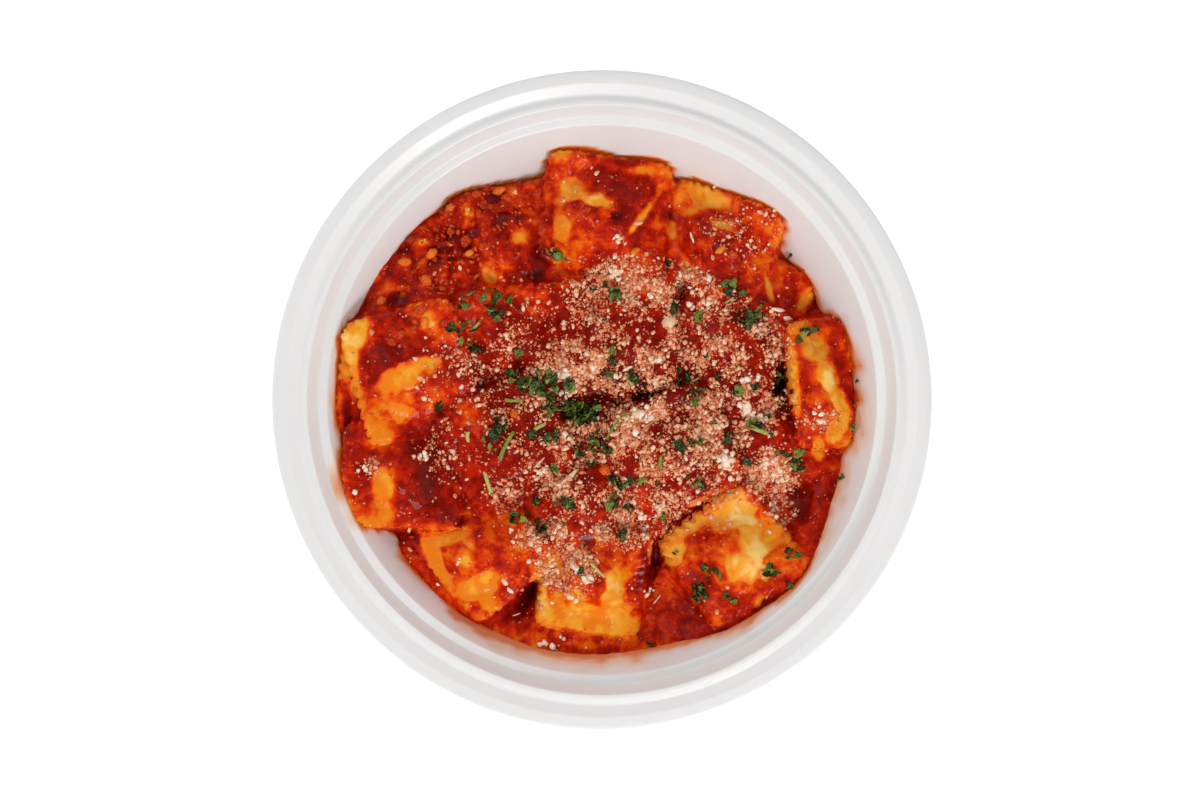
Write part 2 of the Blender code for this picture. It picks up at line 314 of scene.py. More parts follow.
def placed(name: str, data: bpy.types.ID) -> Object:
    """Makes an object of this data and links it to the scene."""
    obj = bpy.data.objects.new(name, data)
    bpy.context.scene.collection.objects.link(obj)
    return obj


def mesh_object(
    name: str,
    points: Array,
    faces: Array | list,
    attributes: dict[str, Array] | None = None,
) -> Object:
    """Makes a smooth-shaded object from points in millimetres.

    Args:
        name: the piece's name.
        points: one row of X, Y and Z for each point.
        faces: corner indices, one row for each face.
        attributes: numbers for each point, by name.

    Returns:
        The new object, linked to the scene.
    """
    mesh = bpy.data.meshes.new(name)
    rows = faces.tolist() if isinstance(faces, Array) else faces
    mesh.from_pydata((np.asarray(points, float) * MM).tolist(), [], rows)
    for key, values in (attributes or {}).items():
        layer = mesh.attributes.new(key, "FLOAT", "POINT")
        layer.data.foreach_set("value", np.asarray(values, np.float32).ravel())
    mesh.shade_smooth()
    mesh.validate()
    return placed(name, mesh)


def grid_faces(rows: int, columns: int) -> Array:
    """Quads over a grid of points.

    Args:
        rows: points one way.
        columns: points the other way.

    Returns:
        Four corner indices for each quad.
    """
    corner = np.arange(rows * columns).reshape(rows, columns)
    quads = [corner[:-1, :-1], corner[1:, :-1], corner[1:, 1:], corner[:-1, 1:]]
    return np.stack([q.ravel() for q in quads], axis=1)


def border(count: int) -> Array:
    """Indices round the edge of a square grid of points, anticlockwise from its first corner."""
    corner = np.arange(count * count).reshape(count, count)
    return np.concatenate([corner[:-1, 0], corner[-1, :-1], corner[:0:-1, -1], corner[0, :0:-1]])


def ring_faces(outer: Array, inner: Array) -> Array:
    """Quads between two rings of the same count, facing so that outer to inner turns upwards."""
    return np.stack([outer, np.roll(outer, -1), np.roll(inner, -1), inner], axis=1)


def closed(top: tuple[Array, ...], rings: list[tuple[Array, ...]], tip: Triple) -> tuple[Array, list]:
    """Closes a square grid of points from below by rings and a last point.

    Args:
        top: X, Y and Z of the grid.
        rings: X, Y and Z of each ring, in border()'s order, from the grid's edge to the last point.
        tip: the last point.

    Returns:
        One row of X, Y and Z for each point, and the corner indices of the faces.
    """
    count = top[0].shape[0]
    points = [np.stack([values.ravel() for values in top], axis=1)]
    faces, previous, total = [grid_faces(count, count)], border(count), count * count
    for ring in rings:
        points.append(np.stack(ring, axis=1))
        numbers = np.arange(total, total + len(previous))
        faces.append(ring_faces(numbers, previous))
        previous, total = numbers, total + len(previous)
    points.append(np.array([tip]))
    fan = [[total, b, a] for a, b in zip(previous, np.roll(previous, -1))]
    return np.concatenate(points), np.concatenate(faces).tolist() + fan


def ball(detail: int) -> Shape:
    """A ball one millimetre across.

    Args:
        detail: how finely it is split.

    Returns:
        The ball.
    """
    bm = bmesh.new()
    bmesh.ops.create_icosphere(bm, subdivisions=detail, radius=0.5 * MM)
    return bm


def solid_points(solid: Object) -> tuple[Array, BVHTree]:
    """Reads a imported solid.

    Args:
        solid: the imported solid.

    Returns:
        Its points in millimetres, and a tree to cast rays at it.
    """
    mesh = solid.data
    co = np.zeros(len(mesh.vertices) * 3)
    mesh.vertices.foreach_get("co", co)
    co = co.reshape(-1, 3) / MM
    return co, BVHTree.FromPolygons(co.tolist(), [tuple(p.vertices) for p in mesh.polygons])


def dress(obj: Object, finish: Material, slot: str, *nodes: str) -> None:
    """Gives a finished piece its material and body, and hides the solids that it stands for.

    Args:
        obj: the piece.
        finish: its material.
        slot: the material slot of the record that it belongs to; not used.
        nodes: the solids that it stands for.
    """
    obj.data.materials.clear()
    obj.data.materials.append(finish)
    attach(obj, ROOT)
    if nodes:
        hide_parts(*nodes)
    LOG.info("%s: %d faces", obj.name, len(obj.data.polygons))


# ---------------------------------------------------------------- materials


class Slot(Enum):
    """The record's material slots."""

    BOWL = "bowl"
    PASTA = "pasta"
    SAUCE = "sauce"
    MEAT = "meat"
    CHEESE = "cheese"
    PARSLEY = "parsley"


class Wiring:
    """Short ways to add and join the nodes of one shader tree."""

    def __init__(self, tree: Tree) -> None:
        """Starts in a tree, with the piece's own coordinates at hand."""
        self.tree = tree
        self.coordinates = self.add("TexCoord").outputs["Object"]

    def add(self, kind: str) -> bpy.types.Node:
        """Adds a shader node of this kind."""
        return self.tree.nodes.new(f"ShaderNode{kind}")

    def put(self, value: Socket | Colour | float, socket: Socket) -> None:
        """Links an output to an input, or sets a plain value there.

        Args:
            value: an output or a plain value.
            socket: the input.
        """
        if isinstance(value, Socket):
            self.tree.links.new(value, socket)
        else:
            socket.default_value = (*value, 1.0) if isinstance(value, tuple) else value

    def grain(self, scale: float, detail: float = 2.0, distort: float = 0.0) -> Socket:
        """Noise over the piece, 0 to 1.

        Args:
            scale: lumps in each metre.
            detail: how many finer noises are added.
            distort: how far the pattern is pulled about.

        Returns:
            The noise's value.
        """
        node = self.add("TexNoise")
        for name, value in (("Scale", scale), ("Detail", detail), ("Distortion", distort)):
            node.inputs[name].default_value = value
        self.put(self.coordinates, node.inputs["Vector"])
        return node.outputs["Fac"]

    def mottled(self, scale: float, distort: float, reach: float) -> Socket:
        """Soft blotches over the piece, from -reach to reach."""
        return self.between(self.grain(scale, 4.0, distort), 0.3, 0.7, -reach, reach)

    def cells(self, scale: float) -> tuple[Socket, Socket]:
        """Packed grains over the piece.

        Args:
            scale: grains in each metre.

        Returns:
            The distance from a grain's middle, and the grain's own number.
        """
        node = self.add("TexVoronoi")
        node.inputs["Scale"].default_value = scale
        self.put(self.coordinates, node.inputs["Vector"])
        split = self.add("SeparateColor")
        self.put(node.outputs["Color"], split.inputs[0])
        return node.outputs["Distance"], split.outputs[0]

    def ramp(self, source: Socket, *stops: tuple[float, Colour]) -> Socket:
        """Colours a number.

        Args:
            source: the number.
            stops: place and colour of each stop, lowest first.

        Returns:
            The colour.
        """
        node = self.add("ValToRGB")
        elements = node.color_ramp.elements
        while len(elements) < len(stops):
            elements.new(1.0)
        for element, (place, colour) in zip(elements, stops):
            element.position = place
            element.color = (*colour, 1.0)
        self.put(source, node.inputs["Fac"])
        return node.outputs["Color"]

    def mix(self, share: Socket | float, first: Socket | Colour, second: Socket | Colour) -> Socket:
        """Mixes two colours.

        Args:
            share: how much of the second colour.
            first: the colour below.
            second: the colour above.

        Returns:
            The mixed colour.
        """
        node = self.add("Mix")
        node.data_type = "RGBA"
        node.clamp_factor = True
        for index, value in ((0, share), (6, first), (7, second)):
            self.put(value, node.inputs[index])
        return node.outputs[2]

    def math(self, operation: str, first: Socket, second: Socket | float, clamp: bool = False) -> Socket:
        """One sum on two numbers.

        Args:
            operation: Blender's name for it.
            first: the first number.
            second: the second number.
            clamp: whether the result is kept from 0 to 1.

        Returns:
            The result.
        """
        node = self.add("Math")
        node.operation = operation
        node.use_clamp = clamp
        self.put(first, node.inputs[0])
        self.put(second, node.inputs[1])
        return node.outputs[0]

    def plus(self, first: Socket, second: Socket) -> Socket:
        """Adds two numbers."""
        return self.math("ADD", first, second)

    def times(self, first: Socket, second: Socket | float) -> Socket:
        """Multiplies two numbers."""
        return self.math("MULTIPLY", first, second)

    def between(
        self, source: Socket, low: float, high: float, start: float = 0.0, end: float = 1.0
    ) -> Socket:
        """Maps a range of numbers smoothly onto another and holds it at the ends.

        Args:
            source: the number.
            low: start of its range.
            high: end of its range.
            start: result at low.
            end: result at high.

        Returns:
            The mapped number.
        """
        node = self.add("MapRange")
        node.interpolation_type = "SMOOTHSTEP"
        for index, value in enumerate((source, low, high, start, end)):
            self.put(value, node.inputs[index])
        return node.outputs["Result"]


class Shader(Wiring):
    """A material under construction, which starts with only its Principled shader."""

    def __init__(self, name: str) -> None:
        """Starts the material.

        Args:
            name: the material's name.
        """
        self.material = bpy.data.materials.new(name)
        self.material.use_nodes = True
        super().__init__(self.material.node_tree)
        self.principled = self.tree.nodes["Principled BSDF"]

    def set(self, **values: float | tuple) -> None:
        """Sets plain numbers on the shader's own sockets, named with _ for a space."""
        for key, value in values.items():
            self.principled.inputs[key.replace("_", " ")].default_value = value

    def feed(self, name: str, output: Socket) -> None:
        """Links an output to one of the shader's inputs."""
        self.put(output, self.principled.inputs[name])

    def attribute(self, name: str) -> Socket:
        """Reads one of the piece's own attributes.

        Args:
            name: the attribute's name.

        Returns:
            Its value.
        """
        node = self.add("Attribute")
        node.attribute_name = name
        return node.outputs["Fac"]

    def bump(self, height: Socket, strength: float, distance: float) -> None:
        """Adds fine relief to the shader's normal.

        Args:
            height: the relief.
            strength: how much of it shows.
            distance: its depth in metres.
        """
        node = self.add("Bump")
        node.inputs["Strength"].default_value = strength
        node.inputs["Distance"].default_value = distance
        self.put(height, node.inputs["Height"])
        self.feed("Normal", node.outputs["Normal"])


@dataclass(frozen=True)
class SauceTone:
    """A node group that colours a surface by its sauce: 0 none, 1 a coat, 2 thick, 4 deep and dark, the
    higher levels also standing for painted shade.
    """

    film: Colour = (0.88, 0.27, 0.006)
    orange: Colour = (0.85, 0.145, 0.002)
    warm: Colour = (0.74, 0.052, 0.001)
    red: Colour = (0.53, 0.015, 0.0006)
    # The deep and dark colours also stand for painted shade where hollows and creases raise the level.
    deep: Colour = (0.26, 0.004, 0.0003)
    dark: Colour = (0.06, 0.002, 0.0003)
    salmon: Colour = (0.68, 0.13, 0.04)
    cream: Colour = (0.92, 0.50, 0.26)
    full: float = 4.0

    def group(self) -> Tree:
        """Builds the group.

        Returns:
            The group, with Level, Bare and Cheese in, and Colour, Level and Height out.
        """
        tree = bpy.data.node_groups.new("sauce_tone", "ShaderNodeTree")
        for name, way, kind in (
            ("Level", "INPUT", "Float"),
            ("Bare", "INPUT", "Color"),
            ("Cheese", "INPUT", "Float"),
            ("Colour", "OUTPUT", "Color"),
            ("Level", "OUTPUT", "Float"),
            ("Height", "OUTPUT", "Float"),
        ):
            tree.interface.new_socket(name, in_out=way, socket_type=f"NodeSocket{kind}")
        wires = Wiring(tree)
        start, end = tree.nodes.new("NodeGroupInput"), tree.nodes.new("NodeGroupOutput")
        level, cheese = start.outputs["Level"], start.outputs["Cheese"]
        mottle = wires.mottled(260.0, 0.55, 0.5)
        reach = wires.between(level, 0.0, 1.2, 0.1, 0.9)
        level = wires.plus(level, wires.times(mottle, reach))
        # The grains vary the tone at random by their own numbers, and their distance term paints shade into
        # the creases between them.
        for scale, depth in ((620.0, 1.0), (1300.0, 0.8)):
            distance, number = wires.cells(scale)
            uneven = wires.plus(wires.times(distance, 1.6), number)
            uneven = wires.times(wires.math("SUBTRACT", uneven, 1.15), depth)
            thick = wires.between(level, 0.3, 1.6, 0.0, 0.25)
            grainy = wires.plus(thick, wires.times(cheese, 0.5))
            level = wires.plus(level, wires.times(uneven, grainy))
        tone = wires.ramp(
            wires.math("DIVIDE", level, self.full),
            (0.0, self.film),
            (0.1, self.orange),
            (0.19, self.warm),
            (0.3, self.red),
            (0.52, self.deep),
            (1.0, self.dark),
        )
        shown = wires.mix(wires.between(level, 0.0, 0.5), start.outputs["Bare"], tone)
        bed = wires.plus(cheese, wires.mottled(420.0, 0.6, 0.5))
        shown = wires.mix(wires.between(bed, 0.4, 1.5, 0.0, 0.55), shown, self.salmon)
        height = wires.grain(1100.0, 4.0)
        for scale, most in ((850.0, 0.55), (1500.0, 0.7)):
            distance, number = wires.cells(scale)
            lain = wires.times(cheese, most)
            there = wires.between(wires.plus(number, lain), 0.98, 1.02)
            there = wires.times(there, wires.between(distance, 0.34, 0.56, 1.0, 0.0))
            colour = wires.mix(wires.between(number, 0.5, 1.0), self.salmon, self.cream)
            shown = wires.mix(wires.times(there, 0.85), shown, colour)
            height = wires.plus(height, wires.times(there, 0.7))
        for index, value in enumerate((shown, level, height)):
            wires.put(value, end.inputs[index])
        return tree

    def use(self, shader: Shader, bare: Socket | Colour) -> tuple[Socket, Socket, Socket]:
        """Puts the group in a material whose piece carries the attributes level and cheese.

        Args:
            shader: the material under construction.
            bare: the colour below the sauce.

        Returns:
            The colour, the level with its mottling, and the fine relief.
        """
        tree = bpy.data.node_groups.get("sauce_tone") or self.group()
        node = shader.add("Group")
        node.node_tree = tree
        shader.put(shader.attribute("level"), node.inputs["Level"])
        shader.put(bare, node.inputs["Bare"])
        shader.put(shader.attribute("cheese"), node.inputs["Cheese"])
        return node.outputs[0], node.outputs[1], node.outputs[2]


@dataclass(frozen=True)
class PlasticFinish:
    """White moulded polypropylene, stained by the sauce along the tide line."""

    white: Colour = (0.745, 0.74, 0.742)
    shade: Colour = (0.72, 0.715, 0.718)
    faint_stain: Colour = (0.72, 0.43, 0.29)
    strong_stain: Colour = (0.66, 0.15, 0.035)
    sauce: Colour = (0.58, 0.035, 0.003)

    def build(self) -> Material:
        """Builds the material.

        Returns:
            The material.
        """
        shader = Shader("white_plastic")
        stain = shader.attribute("stain")
        plain = shader.mix(shader.grain(45.0), self.white, self.shade)
        faint = shader.mix(shader.between(stain, 0.0, 0.5), plain, self.faint_stain)
        strong = shader.mix(shader.between(stain, 0.4, 0.78), faint, self.strong_stain)
        shader.feed("Base Color", shader.mix(shader.between(stain, 0.8, 0.95), strong, self.sauce))
        shader.feed("Roughness", shader.between(stain, 0.0, 0.8, 0.36, 0.2))
        shader.set(
            Subsurface_Weight=0.3, Subsurface_Scale=0.008, Subsurface_Radius=(1.0, 0.9, 0.85), IOR=1.49
        )
        shader.bump(shader.grain(900.0), 0.04, 0.0002)
        return shader.material


@dataclass(frozen=True)
class PastaFinish:
    """Moist egg pasta, stained orange and red where sauce has run over it, with painted highlight and painted
    shade on its bare colour.
    """

    # The pale colour is a painted highlight. The amber colour is partly the pasta's darker tone and partly
    # painted shade.
    pale: Colour = (0.97, 0.62, 0.18)
    yellow: Colour = (0.88, 0.36, 0.022)
    amber: Colour = (0.82, 0.21, 0.005)

    def build(self) -> Material:
        """Builds the material.

        Returns:
            The material.
        """
        shader = Shader("egg_pasta")
        # Painted highlight and shade: the attribute read here is high on the pillows' tops and in highlight
        # patches, and low in shade patches.
        crown = shader.attribute("crown")
        patch = shader.plus(crown, shader.mottled(170.0, 0.5, 0.4))
        low = shader.mix(shader.between(patch, -0.1, 0.45), self.amber, self.yellow)
        bare = shader.mix(shader.between(patch, 0.4, 1.1), low, self.pale)
        colour, level, height = SauceTone().use(shader, bare)
        shader.feed("Base Color", colour)
        shader.feed("Roughness", shader.between(level, 0.0, 1.0, 0.36, 0.27))
        shader.set(
            Subsurface_Weight=0.18,
            Subsurface_Scale=0.002,
            Subsurface_Radius=(1.0, 0.45, 0.15),
            Specular_IOR_Level=0.1,
            Coat_Weight=0.1,
            Coat_Roughness=0.1,
        )
        shader.bump(height, 0.5, 0.0004)
        return shader.material


@dataclass(frozen=True)
class SauceFinish:
    """Wet tomato sauce with oil and fine pulp in it."""

    under: Colour = (0.84, 0.40, 0.04)

    def build(self) -> Material:
        """Builds the material.

        Returns:
            The material.
        """
        shader = Shader("tomato_sauce")
        colour, _, height = SauceTone().use(shader, self.under)
        shader.feed("Base Color", colour)
        shader.feed("Roughness", shader.between(shader.grain(600.0, 3.0), 0.3, 0.7, 0.24, 0.5))
        shader.set(
            Subsurface_Weight=0.06,
            Subsurface_Scale=0.0015,
            Subsurface_Radius=(1.0, 0.2, 0.05),
            Specular_IOR_Level=0.04,
            Coat_Weight=0.09,
            Coat_Roughness=0.05,
        )
        shader.bump(height, 0.75, 0.0006)
        return shader.material


@dataclass(frozen=True)
class CrumbFinish:
    """Bits of one food whose colour runs between two by each bit's own tone."""

    name: str
    first: Colour
    second: Colour
    roughness: float
    soft: float
    relief: float = 0.4
    fleck: float = 0.25
    gloss: float = 0.2

    def build(self) -> Material:
        """Builds the material.

        Returns:
            The material.
        """
        shader = Shader(self.name)
        fleck = shader.between(shader.grain(1500.0, 2.0), 0.35, 0.65, -self.fleck, self.fleck)
        share = shader.math("ADD", shader.attribute("tone"), fleck, clamp=True)
        shader.feed("Base Color", shader.mix(share, self.first, self.second))
        ends = -self.fleck, self.fleck
        shader.feed("Roughness", shader.between(fleck, *ends, self.roughness, self.roughness + 0.15))
        shader.set(
            Subsurface_Weight=self.soft,
            Subsurface_Scale=0.001,
            Subsurface_Radius=(1.0, 0.6, 0.35),
            Specular_IOR_Level=self.gloss,
        )
        shader.bump(shader.grain(3500.0, 3.0), self.relief, 0.0002)
        return shader.material


# ---------------------------------------------------------------- bowl


@dataclass
class Bowl:
    """The white plastic bowl, turned finely about its axis, with the sauce's marks on its wall."""

    height: float = 57.0
    wall: float = 1.0
    floor_top: float = 2.0
    wall_lean: float = 24.5
    wall_top: tuple[float, float] = (96.4, 48.9)
    ledge_radius: float = 99.4
    ledge_rise: float = 0.7
    ridge_radius: float = 102.4
    ridge_width: float = 1.5
    ridge_drop: float = 1.0
    groove_radius: float = 106.0
    groove_drop: float = 2.4
    flange_radius: float = 109.9
    rim_radius: float = 114.5
    rim_skirt: float = 3.6
    foot_inner: float = 61.5
    foot_outer: float = 67.0
    foot_taper: float = 0.7
    floor_round: float = 10.0
    sides: int = 192
    long_run: float = 20.0
    mark_step: float = 0.7
    wall_arc: float = 1.6
    clean_coat: float = 0.3
    clean_haze: float = 0.6
    food_points: int = 40
    surface_slack: float = 0.3
    haze_fall: float = 0.45
    haze_strength: float = 0.7
    faint_strength: float = 0.06
    faint_reach: float = 16.0

    def wall_radius(self, height: Array | float) -> Array | float:
        """Radius of the leaning wall's food side at a height."""
        lean = math.tan(math.radians(self.wall_lean))
        return self.wall_top[0] - (self.wall_top[1] - height) * lean

    def wall_height(self, radius: Array) -> Array:
        """Height of the bowl's food side at a radius."""
        inside = self.inside()
        return np.interp(radius, [c[0] for c in inside], [c[1] for c in inside])

    def inside(self) -> list[Triple]:
        """Corners of the food side from the floor to the rim.

        Returns:
            Radius, height and rounding of each.
        """
        ridge = self.height - self.ridge_drop
        return [
            (float(self.wall_radius(self.floor_top)), self.floor_top, self.floor_round),
            (*self.wall_top, 1.2),
            (self.ledge_radius, self.wall_top[1] + self.ledge_rise, 0.7),
            (self.ridge_radius, ridge, 0.8),
            (self.ridge_radius + self.ridge_width, ridge, 0.6),
            (self.groove_radius, self.height - self.groove_drop, 1.2),
            (self.flange_radius, self.height, 1.5),
            (self.rim_radius, self.height, 1.1),
        ]

    def profile(self) -> Array:
        """Draws the closed half section.

        Returns:
            Radius and height of each point.
        """
        inside = self.inside()
        start = (0.0, self.floor_top, 0.0)
        lip = (self.rim_radius, self.height - self.rim_skirt, 0.4)
        outside = self.offset([start, *inside, lip])[::-1]
        under = self.floor_top - self.wall
        foot = [
            (self.foot_outer + self.foot_taper, under, 0.5),
            (self.foot_outer, 0.0, 0.6),
            (self.foot_inner, 0.0, 0.6),
            (self.foot_inner - self.foot_taper, under, 0.5),
            (0.0, under, 0.0),
        ]
        turned_lip = (self.rim_radius - self.wall, self.height - self.rim_skirt, 0.3)
        return self.rounded([start, *inside, lip, turned_lip, *outside, *foot])

    def offset(self, corners: list[Triple]) -> list[Triple]:
        """Moves corners outwards by the wall's thickness, with mitred joints.

        Args:
            corners: radius, height and rounding of each.

        Returns:
            The moved corners without the first and the last.
        """
        points = np.array([corner[:2] for corner in corners])
        moved = []
        for index in range(1, len(points) - 1):
            before = unit(points[index] - points[index - 1])
            after = unit(points[index + 1] - points[index])
            bisector = unit(before + after)
            sideways = np.array([bisector[1], -bisector[0]])
            stretch = self.wall / (sideways @ np.array([before[1], -before[0]]))
            turn = before[0] * after[1] - before[1] * after[0]
            bend = max(corners[index][2] + math.copysign(self.wall, turn), 0.25)
            moved.append((*(points[index] + sideways * stretch), bend))
        return moved

    @staticmethod
    def rounded(corners: list[Triple]) -> Array:
        """Rounds each corner by its own radius.

        Args:
            corners: radius, height and rounding of each.

        Returns:
            The points of the rounded run.
        """
        points = [np.array(corners[0][:2])]
        for index in range(1, len(corners) - 1):
            here = np.array(corners[index][:2])
            back = np.array(corners[index - 1][:2]) - here
            ahead = np.array(corners[index + 1][:2]) - here
            room = 0.45 * min(np.linalg.norm(back), np.linalg.norm(ahead))
            back, ahead = unit(back), unit(ahead)
            half = math.acos(float(np.clip(back @ ahead, -1.0, 1.0))) / 2.0
            bend = min(corners[index][2], room * math.tan(half))
            if bend <= 0.01:
                points.append(here)
                continue
            centre = here + unit(back + ahead) * bend / math.sin(half)
            start = here + back * bend / math.tan(half) - centre
            end = here + ahead * bend / math.tan(half) - centre
            sweep = math.pi - 2.0 * half
            steps = max(2, int(math.ceil(math.degrees(sweep) / 12.0)))
            for share in np.linspace(0.0, 1.0, steps + 1):
                near = math.sin((1.0 - share) * sweep) / math.sin(sweep)
                far = math.sin(share * sweep) / math.sin(sweep)
                points.append(centre + start * near + end * far)
        points.append(np.array(corners[-1][:2]))
        return np.array(points)

    def build(self, finish: Material, food_edge: Array) -> None:
        """Turns the bowl, marks its wall and dresses it.

        Args:
            finish: the bowl's material.
            food_edge: height of the food on the wall at each whole degree of azimuth.
        """
        section = self.densified(self.profile())
        angles = np.arange(self.sides) * 2 * math.pi / self.sides
        inner = section[1:-1]
        radii = np.repeat(inner[:, :1], self.sides, axis=1)
        heights = np.repeat(inner[:, 1:], self.sides, axis=1)
        x, y = radii * np.cos(angles), radii * np.sin(angles)
        points = np.stack([x.ravel(), y.ravel(), heights.ravel()], axis=1)
        poles = np.array([[0.0, 0.0, section[0, 1]], [0.0, 0.0, section[-1, 1]]])
        rings = np.arange(len(inner) * self.sides).reshape(len(inner), self.sides)
        faces = [ring_faces(a, b)[:, ::-1] for a, b in zip(rings, rings[1:])]
        quads = np.concatenate(faces).tolist()
        first, last = len(points), len(points) + 1
        quads += [[first, a, b] for a, b in zip(rings[0], np.roll(rings[0], -1))]
        quads += [[last, b, a] for a, b in zip(rings[-1], np.roll(rings[-1], -1))]
        points = np.concatenate([points, poles])
        obj = mesh_object("bowl_shell", points, quads, {"stain": self.stain(points, food_edge)})
        obj.data.set_sharp_from_angle(angle=math.radians(50))
        dress(obj, finish, Slot.BOWL.value, "bowl")

    def densified(self, section: Array) -> Array:
        """Splits the wall's long straight run so that it can carry its marks.

        Args:
            section: points of the half section.

        Returns:
            The section with more points.
        """
        points = [section[0]]
        for before, after in zip(section, section[1:]):
            run = np.linalg.norm(after - before)
            off_floor = min(before[0], after[0]) > self.foot_outer
            food_side = len(points) < self.food_points
            steps = int(run / self.mark_step) if off_floor and food_side and run > self.long_run else 1
            points += [before + (after - before) * k / steps for k in range(1, steps + 1)]
        return np.array(points)

    def stain(self, points: Array, food_edge: Array) -> Array:
        """How strongly sauce has marked each point of the bowl.

        Args:
            points: the bowl's points.
            food_edge: height of the food on the wall at each whole degree of azimuth.

        Returns:
            0 for clean to 1 for sauce.
        """
        x, y, z = points.T
        radius = np.hypot(x, y)
        azimuth = np.degrees(np.arctan2(y, x)) % 360.0
        edge = np.interp(azimuth, np.arange(361), np.append(food_edge, food_edge[0]))
        inside = (np.abs(z - self.wall_height(radius)) < self.surface_slack) & (z > self.floor_round)
        above = z - edge
        ragged = rough(azimuth * self.wall_arc, z, 6.0, 3, 11)
        coat, haze = np.full_like(z, self.clean_coat), np.full_like(z, self.clean_haze)
        for at, wide, coated, hazed in SMEARS:
            near = smoothstep(wide, 0.3 * wide, np.abs((azimuth - at + 180.0) % 360.0 - 180.0))
            coat = np.maximum(coat, coated * near)
            haze = np.maximum(haze, self.haze_fall * hazed * near)
        ragged = ragged * (0.7 + 0.35 * haze)
        band = 1.0 - smoothstep(-0.3, 1.2, (above + ragged) / coat)
        haze = self.haze_strength * np.exp(-np.maximum(above - 0.6 * coat + 1.8 * ragged, 0.0) / haze)
        faint = self.faint_strength * (1.0 - smoothstep(0.0, self.faint_reach, above + 3.0 * ragged))
        marks = np.maximum(np.maximum(band, haze), faint)
        return np.where(inside & (radius < self.ledge_radius), marks, 0.0)


# Where sauce has smeared up the wall: azimuth, half width in degrees, and heights of its coat and its haze.
SMEARS = (
    (-2.0, 24.0, 1.0, 10.0), (-24.0, 20.0, 1.0, 11.0), (-42.0, 18.0, 2.0, 4.0), (-62.0, 18.0, 3.5, 7.0),
    (-90.0, 28.0, 5.0, 11.0), (-112.0, 20.0, 7.0, 9.0), (22.0, 18.0, 1.0, 5.0), (38.0, 9.0, 1.0, 5.0),
    (182.0, 16.0, 1.5, 3.5), (200.0, 18.0, 2.0, 3.0), (222.0, 10.0, 1.0, 5.0), (128.0, 24.0, 0.9, 2.0),
)


# ---------------------------------------------------------------- ravioli


